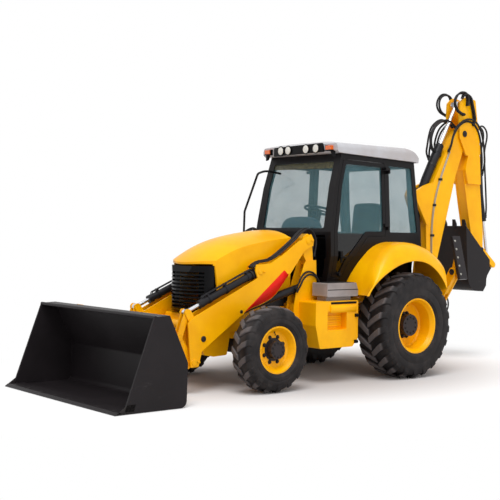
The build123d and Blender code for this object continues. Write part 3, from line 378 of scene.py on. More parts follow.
class LOADER_colours(bpy.types.PropertyGroup):
    """The machine's colours."""

    body: bpy.props.FloatVectorProperty(name="Body paint", description="Hood, arms, boom and fenders",
                                        default=shade(255, 182, 0), subtype="COLOR", size=3, min=0, max=1)
    stripe: bpy.props.FloatVectorProperty(name="Stripe", description="Wedge stripe along the loader arm",
                                          default=shade(226, 22, 10), subtype="COLOR", size=3, min=0, max=1)
    bucket: bpy.props.FloatVectorProperty(name="Buckets", description="Loader bucket and digging bucket",
                                          default=shade(27, 23, 25), subtype="COLOR", size=3, min=0, max=1)
    tyre: bpy.props.FloatVectorProperty(name="Tyres", description="Tyre rubber",
                                        default=shade(25, 22, 23), subtype="COLOR", size=3, min=0, max=1)
    cab: bpy.props.FloatVectorProperty(name="Cab frame", description="Cab pillars, doors and rail",
                                       default=shade(15, 13, 15), subtype="COLOR", size=3, min=0, max=1)
    roof: bpy.props.FloatVectorProperty(name="Roof", description="Roof panel",
                                        default=shade(186, 186, 190), subtype="COLOR", size=3, min=0, max=1)
    glass: bpy.props.FloatVectorProperty(name="Glass tint", description="Windows of the cab",
                                         default=shade(84, 128, 136), subtype="COLOR", size=3, min=0, max=1)
    step: bpy.props.FloatVectorProperty(name="Steps", description="Steps below the doors",
                                        default=shade(146, 138, 136), subtype="COLOR", size=3, min=0, max=1)
    lamp: bpy.props.FloatVectorProperty(name="Amber lamps", description="Turn signals beside the lamp panel",
                                        default=shade(240, 104, 4), subtype="COLOR", size=3, min=0, max=1)


class LOADER_sizes(bpy.types.PropertyGroup):
    """Sizes of the small pieces."""

    front_lugs: bpy.props.IntProperty(name="Front lugs", description="Lugs on each side of a front tyre",
                                      default=17, min=8)
    rear_lugs: bpy.props.IntProperty(name="Rear lugs", description="Lugs on each side of a rear tyre",
                                     default=21, min=8)
    hose: bpy.props.FloatProperty(name="Hose diameter", description="Pressure hoses", default=0.028,
                                  min=0.01, max=0.05, unit="LENGTH")
    glass_alpha: bpy.props.FloatProperty(name="Glass density",
                                         description="How much a pane covers what is behind it",
                                         default=0.28, min=0, max=1, subtype="FACTOR")


# Mesh tools


def add_piece(name, bm, body, finish, angle=35):
    """Makes an object of that mesh, carried by a body; given anything but a body's name, it stays where it is
    built and no body carries it.
    """
    mesh = bpy.data.meshes.new(name)
    bm.to_mesh(mesh)
    bm.free()
    if not mesh.polygons:
        raise RuntimeError(f"{name} has no faces")
    mesh.shade_smooth()
    mesh.set_sharp_from_angle(angle=math.radians(angle))
    mesh.materials.append(finishes[finish])
    made = bpy.data.objects.new(name, mesh)
    bpy.context.scene.collection.objects.link(made)
    if isinstance(body, str):
        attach(made, body)
    else:
        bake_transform(made)
    return made


def ring_faces(bm, first, second):
    """A band of faces between two closed rings of vertices."""
    count = len(first)
    for i in range(count):
        j = (i + 1) % count
        bm.faces.new((first[i], first[j], second[j], second[i]))


def skin(bm, rings, cap=True):
    """Joins closed rings into a tube, and closes its two ends."""
    for first, second in zip(rings, rings[1:]):
        ring_faces(bm, first, second)
    if cap:
        bm.faces.new(list(reversed(rings[0])))
        bm.faces.new(rings[-1])


def circle(bm, centre, across, other, radius, count):
    """A ring of vertices round centre, in the plane of two unit directions."""
    turns = [2 * math.pi * k / count for k in range(count)]
    return [bm.verts.new(centre + (across * math.cos(t) + other * math.sin(t)) * radius) for t in turns]


def turned(bm, profile, centre, axis, steps=40, cap=True):
    """A solid of revolution: profile is (along, radius) pairs in millimetres from centre along axis."""
    axis = Vector(axis).normalized()
    across = axis.orthogonal().normalized()
    other = axis.cross(across)
    skin(bm, [circle(bm, centre + axis * along / 1000, across, other, radius / 1000, steps)
              for along, radius in profile], cap)


def slab(bm, outline, depth, edge=0.0):
    """A plate: a list of points, pushed out by the vector depth, with its edges broken by edge metres."""
    low = [bm.verts.new(p) for p in outline]
    high = [bm.verts.new(Vector(p) + depth) for p in outline]
    faces = [bm.faces.new(list(reversed(low))), bm.faces.new(high)]
    count = len(low)
    for i in range(count):
        j = (i + 1) % count
        faces.append(bm.faces.new((low[i], low[j], high[j], high[i])))
    bmesh.ops.recalc_face_normals(bm, faces=faces)
    if edge:
        edges = list({e for f in faces for e in f.edges})
        bmesh.ops.bevel(bm, geom=edges, offset=edge, segments=2, affect="EDGES", profile=0.5,
                        clamp_overlap=True)


def block(bm, low, high, edge=0.004):
    """A rectangular block between two corners in millimetres, its edges broken."""
    (x0, y0, z0), (x1, y1, z1) = low, high
    foot = [at(x0, y0, z0), at(x1, y0, z0), at(x1, y1, z0), at(x0, y1, z0)]
    slab(bm, foot, Vector((0, 0, (z1 - z0) / 1000)), edge)


def side_slab(bm, points, x0, x1, edge=0.002):
    """A plate with its outline in (behind, above) millimetres, from x0 to x1."""
    slab(bm, [at(x0, y, z) for y, z in points], Vector(((x1 - x0) / 1000, 0, 0)), edge)


def bolt(bm, seat, out, size=30):
    """A hexagon bolt head with its chamfer and washer, standing on seat and pointing out."""
    turned(bm, [(0, size * 0.8), (size * 0.1, size * 0.8), (size * 0.12, size * 0.74)], seat, out, 20)
    head = [(0.12, 0.577), (0.54, 0.577), (0.62, 0.5), (0.62, 0.18)]
    turned(bm, [(size * along, size * radius) for along, radius in head], seat, out, 6)


def tube(bm, points, diameter, fitting=True):
    """A hose or pipe along a smooth line through its points, with a crimped end at each end."""
    curve = bpy.data.curves.new("route", "CURVE")
    curve.dimensions = "3D"
    spline = curve.splines.new("NURBS")
    spline.points.add(len(points) - 1)
    for point, where in zip(spline.points, points):
        point.co = (*where, 1)
    spline.order_u = 3
    spline.use_endpoint_u = True
    spline.resolution_u = 8
    holder = bpy.data.objects.new("route", curve)
    bpy.context.scene.collection.objects.link(holder)
    line = bpy.data.meshes.new_from_object(holder)
    path = [v.co.copy() for v in line.vertices]
    bpy.data.objects.remove(holder)
    bpy.data.curves.remove(curve)
    bpy.data.meshes.remove(line)
    side = (path[1] - path[0]).orthogonal().normalized()
    rings = []
    for i, centre in enumerate(path):
        along = (path[min(i + 1, len(path) - 1)] - path[max(i - 1, 0)]).normalized()
        side = (side - along * side.dot(along)).normalized()
        rings.append(circle(bm, centre, side, along.cross(side), diameter / 2, 10))
    skin(bm, rings)
    if fitting:
        grip = diameter * 1000
        crimp = [(-0.35, 0.42), (-0.3, 0.72), (0.25, 0.72), (0.3, 0.62), (1.6, 0.62), (1.7, 0.5)]
        for end, inner in ((path[0], path[1]), (path[-1], path[-2])):
            turned(bm, [(grip * along, grip * radius) for along, radius in crimp], end, inner - end, 12)


def level(x, places):
    """Points at one x for each (behind, above) pair in millimetres."""
    return [at(x, y, z) for y, z in places]


def disc_cap(r, step=0.7, button=0.68, foot=0):
    """The profile of a round cap over a pin, with a raised button in its middle."""
    return [(foot, r), (foot + 5, r), (foot + 7, r - 2), (foot + 7, r * step), (foot + 9, r * button),
            (foot + 9, r * 0.2)]


def both(build):
    """Runs a piece's builder for the left side and for the right."""
    for name, side in (("left", 1), ("right", -1)):
        build(name, side)


# Tyres


def tyre_mesh(bm, spec, lugs, side):
    """The carcass with its ribbed walls, and a row of lugs on each side that meet in a chevron."""
    radius, half, rim = spec["radius"], spec["width"] / 2, spec["rim"]
    base = radius - spec["depth"]
    bulge = (rim + base) / 2
    centre = at(side * spec["x"], spec["y"], radius)

    def vertex(x, r, t):
        """A vertex at x across the tyre, r from its axle and t round it."""
        return bm.verts.new(centre + Vector((side * x, -r * math.cos(t), r * math.sin(t))) / 1000)

    def top(x):
        """The radius of a lug's top, which falls away over the shoulder in two slopes."""
        return radius - 12 * min(1, max(0, abs(x) - half + 80) / 35) - 48 * max(0, abs(x) - half + 45) / 41

    def foot(x):
        """The radius of a lug's foot, inside the carcass."""
        return base - 12 - 60 * max(0, abs(x) / half - 0.8) / 0.2

    wall = [(half - 36, rim + 1), (half - 24, rim + 10), (half - 20, rim + 24), (half - 12, rim + 30),
            (half - 9, rim + 44), (half - 3, rim + 50), (half - 1, bulge - 14), (half - 4, bulge - 8),
            (half - 1, bulge), (half - 2, base - 78), (half - 8, base - 52), (half - 18, base - 26),
            (half - 40, base - 8), (half - 80, base), (half * 0.25, base + 3)]
    profile = wall + [(-x, r) for x, r in reversed(wall)]
    turns = [2 * math.pi * k / 96 for k in range(96)]
    rings = [[vertex(x, r, t) for t in turns] for x, r in profile]
    skin(bm, rings, cap=False)
    ring_faces(bm, rings[-1], rings[0])

    bar, slant = spec["bar"], spec["slant"]
    # Across the tyre, the share of the slant reached there, and the share of the bar's width
    route = [(half - 3, 0.0, 1.0), (half - 14, 0.02, 1.05), (half * 0.72, 0.16, 1.1),
             (half * 0.45, 0.42, 1.0), (half * 0.18, 0.76, 0.95), (-half * 0.02, 1.0, 0.9)]
    pitch = 2 * math.pi / lugs
    for row, phase in ((1, 0.3), (-1, 0.8)):
        for k in range(lugs):
            start = math.pi / 2 - pitch * (k + phase) + (bar / 2 + slant) / radius
            bars, tops = [], set()
            for x, along, wide in route:
                turn = start - along * slant / radius
                reach = bar * wide / 2 / radius
                low = [vertex(row * x, foot(x), turn + edge * reach * 1.35) for edge in (-1, 1)]
                high = [vertex(row * x, top(x), turn + edge * reach) for edge in (-1, 1)]
                bars.append([low[0], high[0], high[1], low[1]])
                tops |= set(high)
            faces = [bm.faces.new(list(reversed(bars[0]))), bm.faces.new(bars[-1])]
            for first, second in zip(bars, bars[1:]):
                for i in range(4):
                    j = (i + 1) % 4
                    faces.append(bm.faces.new((first[i], first[j], second[j], second[i])))
            bmesh.ops.recalc_face_normals(bm, faces=faces)
            rims = {e for f in faces for e in f.edges if set(e.verts) <= tops and e.calc_face_angle(0) > 0.5}
            bmesh.ops.bevel(bm, geom=list(rims), offset=0.006, segments=2, affect="EDGES", profile=0.6,
                            clamp_overlap=True)
    bmesh.ops.recalc_face_normals(bm, faces=bm.faces[:])


def make_tyres():
    """A lugged tyre in place of each plain one."""
    sizes = bpy.context.scene.loader_sizes
    for end, spec, lugs in (("front", FRONT, sizes.front_lugs), ("rear", REAR, sizes.rear_lugs)):
        def build(name, side):
            bm = bmesh.new()
            tyre_mesh(bm, spec, lugs, side)
            body = f"{end}_wheel_{name}"
            made = add_piece(f"{end}_tyre_lugged_{name}", bm, body, f"{end}_rubber", 40)
            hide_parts(f"{end}_tyre_{name}")
        both(build)


def make_wheel_nuts():
    """Wheel nuts, the planetary hubs' bolts and a tyre valve on each wheel."""
    hub_bolts = 10

    def build(name, side):
        for end, spec, count, ring, face, hub_ring, hub_face in (
                ("front", FRONT, 8, 146, 50, 78, 130), ("rear", REAR, 12, 150, 10, 96, 110)):
            centre = at(side * spec["x"], spec["y"], spec["radius"])
            bm = bmesh.new()
            for total, distance, seat, size in ((count, ring, face, 30), (hub_bolts, hub_ring, hub_face, 18)):
                for k in range(total):
                    turn = 2 * math.pi * (k + 0.5) / total
                    offset = Vector((side * seat, distance * math.cos(turn), distance * math.sin(turn)))
                    bolt(bm, centre + offset / 1000, (side, 0, 0), size)
            valve = centre + Vector((side * spec["disc"], 0, spec["rim"] - 52)) / 1000
            turned(bm, [(0, 7), (10, 7), (12, 5), (34, 5), (36, 6), (44, 6)], valve, (side * 0.6, 0, -1), 12)
            add_piece(f"{end}_wheel_nuts_{name}", bm, f"{end}_wheel_{name}", "cast_dark")
    both(build)


# Finishes


def recoloured(finish, mask, colour):
    """Gives a finish a second colour where mask is 1."""
    old = Value(finish.tree, finish.shader.inputs["Base Color"].links[0].from_socket)
    finish.set("Base Color", blend_colours(mask, old, colour))


def make_finishes():
    """Every material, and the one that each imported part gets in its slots."""
    colours = bpy.context.scene.loader_colours
    sizes = bpy.context.scene.loader_sizes
    body = tuple(colours.body)
    tyre = tuple(colours.tyre)
    paint("yellow_paint", body)
    paint("stripe_red", tuple(colours.stripe), dust=0.05)
    paint("roof_white", tuple(colours.roof), roughness=0.4, coat=0.25, dust=0.0)
    paint("cab_black", tuple(colours.cab), roughness=0.4, coat=0.05, dust=0.06)
    for end, spec, hub in (("front", FRONT, 0.129), ("rear", REAR, 0.16)):
        rim = paint(f"{end}_rim", body, dust=0.3)
        beyond = smooth(distance_from_axle(rim.tree, spec["y"], spec["radius"]), hub - 0.001, hub + 0.001)
        recoloured(rim, 1 - beyond, shade(48, 42, 43))
    leg = paint("stabiliser_paint", body)
    xs, _, zs = parts_of(place(leg.tree))
    out = maths("ABSOLUTE", xs) * PAD_OUT[0] + zs * PAD_OUT[1]
    recoloured(leg, smooth(out, PAD_START - 0.0015, PAD_START + 0.0015), shade(36, 32, 34))
    black_metal("bucket_black", tuple(colours.bucket), 0.48, 0.35, 0.004)
    black_metal("black_steel", shade(30, 29, 32), 0.34, 0.2)
    black_metal("cast_dark", shade(40, 36, 36), 0.55, 0.2)
    black_metal("engine_grey", shade(70, 70, 72), 0.6, 0.2)
    rubber("tyre_rubber", tyre)
    # These two tyre rubbers carry the painted highlight on their lug tops.
    rubber("front_rubber", tyre, FRONT)
    rubber("rear_rubber", tyre, REAR)
    rubber("hose_rubber", shade(24, 23, 25))
    moulded("lamp_black", shade(12, 11, 12), 0.42, 420, 0.12)
    moulded("interior_plastic", shade(24, 25, 28), 0.55)
    moulded("dash_plastic", shade(54, 84, 98), 0.5)
    moulded("grey_plastic", tuple(colours.step), 0.55, 300)
    moulded("grille_black", shade(6, 6, 8), 0.2, 180, 0.12)
    moulded("seal_rubber", shade(18, 18, 19), 0.7, 500)
    polished("chrome_rod", shade(226, 226, 230))
    polished("zinc", shade(168, 165, 156), 0.35, (8, 8, 8))
    glazing("cab_glass", tuple(colours.glass), sizes.glass_alpha)
    woven("seat_fabric", shade(22, 22, 25))
    lens("lamp_glass", shade(236, 234, 226))
    lens("amber_lens", tuple(colours.lamp))
    mottled("sun_strip", shade(40, 40, 30), shade(104, 102, 70))
    for name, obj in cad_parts.items():
        if not obj.material_slots:
            raise RuntimeError(f"{name} has no material slot")
        chosen = packed_finish(name, obj)
        for holder in obj.material_slots:
            holder.material = finishes[chosen]


def packed_finish(name, obj):
    """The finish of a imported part: its own, or else the one that its slot is named for."""
    if name.startswith(("front_rim", "rear_rim")):
        return f"{name.split('_')[0]}_rim"
    if name in ("stabiliser_left", "stabiliser_right"):
        return "stabiliser_paint"
    packed = obj.material_slots[0].material
    label = packed.name.split(".")[0] if packed else ""
    return label if label in finishes else "yellow_paint"


# Stage


def make_floor():
    """A pale floor that keeps the machine's shadow, is painted grey under and around the machine as a painted
    shadow, and fades to white further out.
    """
    mesh = bpy.data.meshes.new("floor")
    bm = bmesh.new()
    rings = [circle(bm, Vector(), Vector((1, 0, 0)), Vector((0, 1, 0)), r, 64) for r in (0.5, 4, 8, 14, 40)]
    bm.faces.new(rings[0])
    skin(bm, rings, cap=False)
    bmesh.ops.recalc_face_normals(bm, faces=bm.faces[:])
    bm.to_mesh(mesh)
    bm.free()
    floor = bpy.data.objects.new("floor", mesh)
    bpy.context.scene.collection.objects.link(floor)
    material = bpy.data.materials.new("floor")
    material.use_nodes = True
    tree = material.node_tree
    tree.nodes.clear()
    out = tree.nodes.new("ShaderNodeOutputMaterial")
    white = node(tree, "ShaderNodeEmission", None, {"Color": (1, 1, 1, 1), "Strength": 1.0})
    xs, ys, _ = parts_of(node(tree, "ShaderNodeNewGeometry", output=0))
    reach = maths("SQRT", xs * xs * 1.6 + ys * ys * 0.75)
    # Painted shadow: the floor is painted grey near the machine and pales further out.
    ground = blend_colours(smooth(reach, 0.9, 3.4), (0.5, 0.47, 0.46), (0.9, 0.89, 0.885))
    matt = node(tree, "ShaderNodeBsdfDiffuse", None, {"Color": ground, "Roughness": 0.5})
    seen = node(tree, "ShaderNodeLightPath", output=0)
    mixed = node(tree, "ShaderNodeMixShader", None, {0: smooth(reach, 2.4, 4.6) * seen, 1: matt, 2: white})
    tree.links.new(mixed.socket, out.inputs[0])
    mesh.materials.append(material)


def make_lights():
    """A soft pale world that shows as white, a broad light from ahead and above, and a fill from the side."""
    scene = bpy.context.scene
    world = bpy.data.worlds.new("studio")
    scene.world = world
    world.use_nodes = True
    tree = world.node_tree
    tree.nodes.clear()
    out = tree.nodes.new("ShaderNodeOutputWorld")
    soft = node(tree, "ShaderNodeBackground", None, {"Color": (0.97, 0.98, 1.0, 1), "Strength": 0.52})
    plain = node(tree, "ShaderNodeBackground", None, {"Color": (1, 1, 1, 1), "Strength": 1.0})
    camera_ray, glossy_ray, through_ray = [node(tree, "ShaderNodeLightPath", output=i) for i in (0, 3, 6)]
    shown = node(tree, "ShaderNodeMath", {"operation": "MINIMUM"},
                 {0: camera_ray + glossy_ray + through_ray, 1: 1.0})
    mixed = node(tree, "ShaderNodeMixShader", None, {0: shown, 1: soft, 2: plain})
    tree.links.new(mixed.socket, out.inputs[0])
    suns = (("key", 2.0, 0.6, (-0.4, 0.35, -1.0)), ("fill", 0.75, 1.0, (-0.9, 0.2, -0.3)))
    for name, power, spread, aim in suns:
        lamp = bpy.data.lights.new(name, "SUN")
        lamp.energy = power
        lamp.angle = spread
        made = bpy.data.objects.new(name, lamp)
        made.rotation_mode = "QUATERNION"
        made.rotation_quaternion = Vector(aim).to_track_quat("-Z", "Y")
        scene.collection.objects.link(made)


def make_camera():
    """The camera where it stood for the photograph."""
    scene = bpy.context.scene
    data = bpy.data.cameras.new("camera")
    data.lens = LENS
    data.sensor_width = 36
    data.clip_end = 200
    camera = bpy.data.objects.new("camera", data)
    scene.collection.objects.link(camera)
    yaw, pitch, roll = (math.radians(a) for a in CAMERA_TURN)
    ahead = Vector((math.cos(pitch) * math.sin(yaw), math.cos(pitch) * math.cos(yaw), math.sin(pitch)))
    level_right = ahead.cross(Vector((0, 0, 1))).normalized()
    level_up = level_right.cross(ahead)
    right = math.cos(roll) * level_right + math.sin(roll) * level_up
    up = math.cos(roll) * level_up - math.sin(roll) * level_right
    turn = Matrix((right, up, -ahead)).transposed().to_4x4()
    camera.matrix_world = Matrix.Translation(CAMERA_AT) @ turn
    scene.camera = camera


def make_stage():
    """The floor, the light and the camera."""
    bpy.context.scene.view_settings.view_transform = "Standard"
    make_floor()
    make_lights()
    make_camera()


# Seat


def cushion(name, size, crown, turn, centre, channels):
    """A stuffed pad: a rounded block, full in the middle and drawn in along its sewn channels."""
    across, along, thick = size
    nx, ny, nz = 22, 22, 6
    groove_depth, groove_width, side_bulge = 9, 0.035, 0.05
    bm = bmesh.new()
    grid = {}
    for i, j, k in itertools.product(range(nx + 1), range(ny + 1), range(nz + 1)):
        if i not in (0, nx) and j not in (0, ny) and k not in (0, nz):
            continue
        u, v, w = 2 * i / nx - 1, 2 * j / ny - 1, 2 * k / nz - 1
        rise = (1 - u ** 4) * (1 - v ** 4)
        x = u * across / 2 * (1 - abs(v) ** 6 * 0.07)
        y = v * along / 2 * (1 - abs(u) ** 6 * 0.07)
        z = w * thick / 2 * (0.72 + 0.28 * rise)
        if i in (0, nx):
            x *= 1 + side_bulge * (1 - w * w)
        if w > 0:
            z += crown * rise
            for groove in channels:
                z -= groove_depth * math.exp(-((v - groove) / groove_width) ** 2) * (1 - u ** 8)
        grid[i, j, k] = bm.verts.new(centre + turn @ Vector((x, y, z)) / 1000)

    def patch(corner, first, second):
        """A face at a corner of the grid, with its sides along two steps of it."""
        corners = [corner, tuple(map(sum, zip(corner, first))), tuple(map(sum, zip(corner, first, second))),
                   tuple(map(sum, zip(corner, second)))]
        bm.faces.new([grid[c] for c in corners])

    right, back, up = (1, 0, 0), (0, 1, 0), (0, 0, 1)
    for i, j in itertools.product(range(nx), range(ny)):
        for k in (0, nz):
            patch((i, j, k), right, back)
    for k in range(nz):
        for i, j in itertools.product(range(nx), (0, ny)):
            patch((i, j, k), right, up)
        for j, i in itertools.product(range(ny), (0, nx)):
            patch((i, j, k), back, up)
    bmesh.ops.recalc_face_normals(bm, faces=bm.faces[:])
    made = add_piece(name, bm, "chassis", "seat_fabric", 60)
    smoother = made.modifiers.new("smooth", "SUBSURF")
    smoother.levels = smoother.render_levels = 1
    return made


def make_seat():
    """The cushion and backrest in cloth, on a sprung pedestal with its bellows and armrests."""
    flat = Matrix.Rotation(math.radians(-2), 3, "X")
    upright = Matrix.Rotation(math.radians(84), 3, "X")
    base = cushion("seat_cushion", (470, 400, 120), 14, flat, at(0, 2150, 1640), (-0.35, 0.35))
    cushion("seat_backrest", (450, 500, 96), 12, upright, at(0, 2372, 1920), (-0.4, 0.1, 0.55))
    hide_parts("operator_seat")
    bm = bmesh.new()
    block(bm, (-150, 2020, 1197), (150, 2300, 1250), 0.008)
    for k in range(5):
        z = 1252 + k * 58
        block(bm, (-132, 2035, z), (132, 2285, z + 26), 0.01)
        block(bm, (-116, 2050, z + 24), (116, 2270, z + 60), 0.008)
    block(bm, (-200, 1975, 1542), (200, 2330, 1580), 0.012)
    pad = [(2050, 1745), (2330, 1750), (2345, 1775), (2330, 1795), (2050, 1790), (2038, 1768)]
    post = [(2310, 1560), (2355, 1560), (2372, 1780), (2328, 1785)]
    for side in (1, -1):
        side_slab(bm, pad, side * 246, side * 290, 0.012)
        side_slab(bm, post, side * 246, side * 268, 0.005)
    add_piece("seat_pedestal", bm, "chassis", "interior_plastic")


# Loader


def make_stripe():
    """The red wedge along the lower edge of each loader arm, and the gusset plates below it."""
    wedge = [(-140, 870), (446, 1332), (456, 1335), (468, 1328), (519, 1282), (421, 1168), (331, 1070),
             (258, 1018), (168, 980), (78, 948), (-29, 918)]
    web = [(-150, 862), (-29, 932), (100, 1010), (300, 1130), (500, 1252), (522, 1284), (421, 1162),
           (331, 1064), (258, 1012), (168, 974), (78, 942), (-29, 912)]
    plate = 15

    def build(name, side):
        bm = bmesh.new()
        x = side * (ARM_OUTER + 0.3)
        side_slab(bm, wedge, x, x + side * 1.2, 0.0003)
        add_piece(f"arm_stripe_{name}", bm, "loader_arms", "stripe_red")
        bm = bmesh.new()
        for inner in (ARM_OUTER - plate, ARM_INNER):
            side_slab(bm, web, side * inner, side * (inner + plate), 0.001)
        add_piece(f"arm_web_{name}", bm, "loader_arms", "yellow_paint")
    both(build)


def make_pins():
    """Collars, keeper plates and bolts at the pins of the loader and of the digging arm."""
    def loader(name, side):
        bm = bmesh.new()
        for (y, z), r in (((830, 1680), 44), ((-820, 355), 40), ((95, 1322), 34)):
            seat = at(side * ARM_OUTER, y, z)
            turned(bm, disc_cap(r, 0.72, 0.7), seat, (side, 0, 0), 28)
            near, far = y + r * 0.5, y + r + 34
            keeper = [(near, z - 9), (far, z - 9), (far, z + 9), (near, z + 9)]
            side_slab(bm, keeper, side * (ARM_OUTER + 0.5), side * (ARM_OUTER + 7), 0.0012)
            bolt(bm, at(side * (ARM_OUTER + 7), y + r + 20, z), (side, 0, 0), 15)
        add_piece(f"loader_pin_caps_{name}", bm, "loader_arms", "yellow_paint")
    both(loader)

    def levers(name, side):
        bm = bmesh.new()
        lever_cap = [(0, 33), (5, 33), (7, 31), (7, 24), (9, 23), (9, 8)]
        turned(bm, lever_cap, at(side * ARM_OUTER, -705, 604), (side, 0, 0), 28)
        turned(bm, [(0, 20), (4, 20), (6, 17), (6, 5)], at(side * ARM_OUTER, -180, 880), (side, 0, 0), 24)
        add_piece(f"loader_lever_caps_{name}", bm, "loader_arms", "cast_dark")
    both(levers)
    for piece, body, pins in (
            ("boom_pin_caps", "boom", ((4207, 3203, 125, 46),)),
            ("dipper_pin_caps", "dipper", ((4650, 1250, 111, 38), (4640, 1560, 117, 38))),
            ("swing_post_pin_caps", "swing_post", ((3530, 720, 130, 48), (3440, 1060, 130, 38)))):
        bm = bmesh.new()
        for y, z, x, r in pins:
            for side in (1, -1):
                neck = [(-2, 24), (2, 24)]
                turned(bm, neck + disc_cap(r, foot=2), at(side * x, y, z), (side, 0, 0), 28)
                bolt(bm, at(side * (x + 11), y, z), (side, 0, 0), 18)
        add_piece(piece, bm, body, "cast_dark")


def make_edge_bolts():
    """The plough bolts that hold the loader bucket's edge, and a wear plate on each of its sides."""
    bm = bmesh.new()
    for k in range(8):
        turned(bm, [(-6, 20), (1.5, 20), (3, 17), (3, 6)], at((k - 3.5) * 290, -2120, 31), (0, 0, 1), 20)
    for side in (1, -1):
        plate = level(side * 1160, [(-2190, 8), (-1990, 8), (-1960, 96), (-2060, 96)])
        slab(bm, plate, Vector((-side * 0.004, 0, 0)), 0.001)
    add_piece("bucket_edge_bolts", bm, "loader_bucket", "cast_dark")


def make_loader_hoses():
    """Hoses along each loader arm and at its tower, pipes on the tilt cylinders, and the arms' rests."""
    thick = bpy.context.scene.loader_sizes.hose * 0.8

    def arm(name, side):
        bm = bmesh.new()
        for k in range(3):
            x, rise, back = side * (528 - 34 * k), 9 * (k % 2), 14 * k
            along = [(70, 1432), (180, 1440), (300, 1466), (431, 1545), (561, 1632), (654, 1700), (735, 1772),
                     (826, 1822), (915, 1800)]
            tube(bm, level(x, [(12, 1378), *[(y, z + rise) for y, z in along], (985 - back, 1700),
                               (975 - back, 1590), (950, 1500)]), thick)
        joint = at(0, 745, 1790), at(0, 940, 1600)
        add_piece(f"arm_hoses_{name}", bm, ("loader_arms", "chassis", *joint), "hose_rubber", 60)
    both(arm)

    def lift(name, side):
        bm = bmesh.new()
        for k in range(2):
            x, drop = side * (578 + 26 * k), 34 * k
            over = [(985, 1215), (900, 1306), (790, 1322), (706, 1262), (668, 1180)]
            tube(bm, [at(x - side * 60, 1010, 1120), *level(x, [(y, z - drop) for y, z in over]),
                      at(x - side * 28, 640, 1120 - drop)], thick)
        joint = at(0, 880, 1250), at(0, 720, 1200)
        add_piece(f"lift_hoses_{name}", bm, ("chassis", "lift_barrels", *joint), "hose_rubber", 60)
    both(lift)

    def tilt(name, side):
        run = (TILT_TIP - TILT_BASE).normalized()
        up = Vector((run.y, -run.x))
        lie = (0, run.x, run.y)
        bm = bmesh.new()
        climb = ((56, 36), (66, 60), (110, 66), (430, 66), (790, 66), (822, 62), (828, 36))
        for x in (TILT_X - 14, TILT_X + 14):
            tube(bm, level(side * x, [TILT_BASE + run * d + up * h for d, h in climb]), 0.013, fitting=False)
        for d in (150, 480, 740):
            band = at(side * TILT_X, *(TILT_BASE + run * d))
            turned(bm, [(-15, 43), (-15, 49), (15, 49), (15, 43)], band, lie, 32, cap=False)
            clamp = at(side * TILT_X, *(TILT_BASE + run * d + up * 58))
            turned(bm, [(-20, 12), (-20, 16), (20, 16), (20, 12)], clamp, (1, 0, 0), 14)
        add_piece(f"tilt_pipe_{name}", bm, "tilt_barrels", "black_steel", 60)
        bm = bmesh.new()
        collar = [(-11, 43), (-11, 54), (-8, 56), (8, 56), (11, 54), (11, 43)]
        for d in (40, 92):
            turned(bm, collar, at(side * TILT_X, *(TILT_BASE + run * d)), lie, 32, cap=False)
        add_piece(f"tilt_collars_{name}", bm, "tilt_barrels", "cast_dark", 50)
    both(tilt)
    bm = bmesh.new()
    for side in (1, -1):
        rest = level(side * 470, [(432, 1528), (520, 1586), (520, 1622), (432, 1566)])
        slab(bm, rest, Vector((side * 0.04, 0, 0)), 0.006)
    add_piece("arm_rests", bm, "loader_arms", "seal_rubber")


def bowed(x, half, side_y, middle_y):
    """How far behind the front axle an arc through a middle point and two side points lies at x."""
    deep = side_y - middle_y
    radius = (half * half + deep * deep) / (2 * deep)
    return middle_y + radius - math.sqrt(radius * radius - x * x)


def make_grille():
    """Fine uprights behind the slots of the bowed grille, and the slot in the hood's lip above it."""
    bm = bmesh.new()
    for k in range(-19, 20):
        x = k * 16
        y = bowed(x, 345, -385, -590) - 12
        block(bm, (x - 1.6, y, 902), (x + 1.6, y + 5, 1338), 0.0006)
    add_piece("grille_mesh", bm, "hood", "grille_black")
    bm = bmesh.new()
    xs = [-150 + 20 * k for k in range(16)]
    front = [at(x, bowed(x, 400, -420, -610) + 48, 1458 - x * x * 0.0006) for x in xs]
    back = [p + Vector((0, 0.028, 0.019)) for p in reversed(front)]
    slab(bm, front + back, Vector((0, -0.0016, 0.003)), 0.0005)
    add_piece("hood_slot", bm, "hood", "seal_rubber")


# Cab


def make_doors_trim():
    """The handle and the lower lock of each door."""
    def build(name, side):
        bm = bmesh.new()
        block(bm, (side * 686, 1225, 1420), (side * 704, 1262, 1560), 0.006)
        block(bm, (side * 698, 1215, 1470), (side * 716, 1330, 1496), 0.006)
        lock = [(0, 18), (10, 18), (14, 15), (14, 4)]
        turned(bm, lock, at(side * 668, 1238, 1268), (side, 0, 0), 24)
        add_piece(f"door_handle_{name}", bm, f"door_{name}", "lamp_black")
    both(build)


def make_lamps():
    """The lamp panel over the windscreen with its round lenses, and the brackets of the amber lamps."""
    ahead = (0, -1, 0)
    bm = bmesh.new()
    rim = [(0, 62), (9, 61), (13, 57), (13, 53), (9, 51), (2, 50), (2, 10)]
    for x in LAMPS:
        turned(bm, rim, at(x, 1133, LAMP_Z), ahead, 40)
    panel = [(-448, 2736), (455, 2752), (462, 2762), (438, 2854), (428, 2862), (-436, 2846), (-446, 2838)]
    slab(bm, [at(x, 1166, z) for x, z in panel], Vector((0, -0.032, 0)), 0.01)
    made = add_piece("lamp_panel", bm, "chassis", "lamp_black")
    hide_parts("work_lamps")
    bm = bmesh.new()
    for x in LAMPS:
        turned(bm, [(0, 52), (4, 49), (9, 36), (12, 18), (12.5, 1)], at(x, 1127, LAMP_Z), ahead, 40)
    add_piece("lamp_lenses", bm, "chassis", "lamp_glass", 60)
    bm = bmesh.new()
    bracket = [(590, 2700), (632, 2690), (632, 2760), (560, 2762)]
    for side in (1, -1):
        block(bm, (side * 507, 1116, 2758), (side * 615, 1170, 2772), 0.004)
        block(bm, (side * 500, 1130, 2762), (side * 514, 1172, 2830), 0.004)
        slab(bm, [at(side * x, 1180, z) for x, z in bracket], Vector((0, -0.02, 0)), 0.004)
    add_piece("amber_lamp_bases", bm, "chassis", "lamp_black")


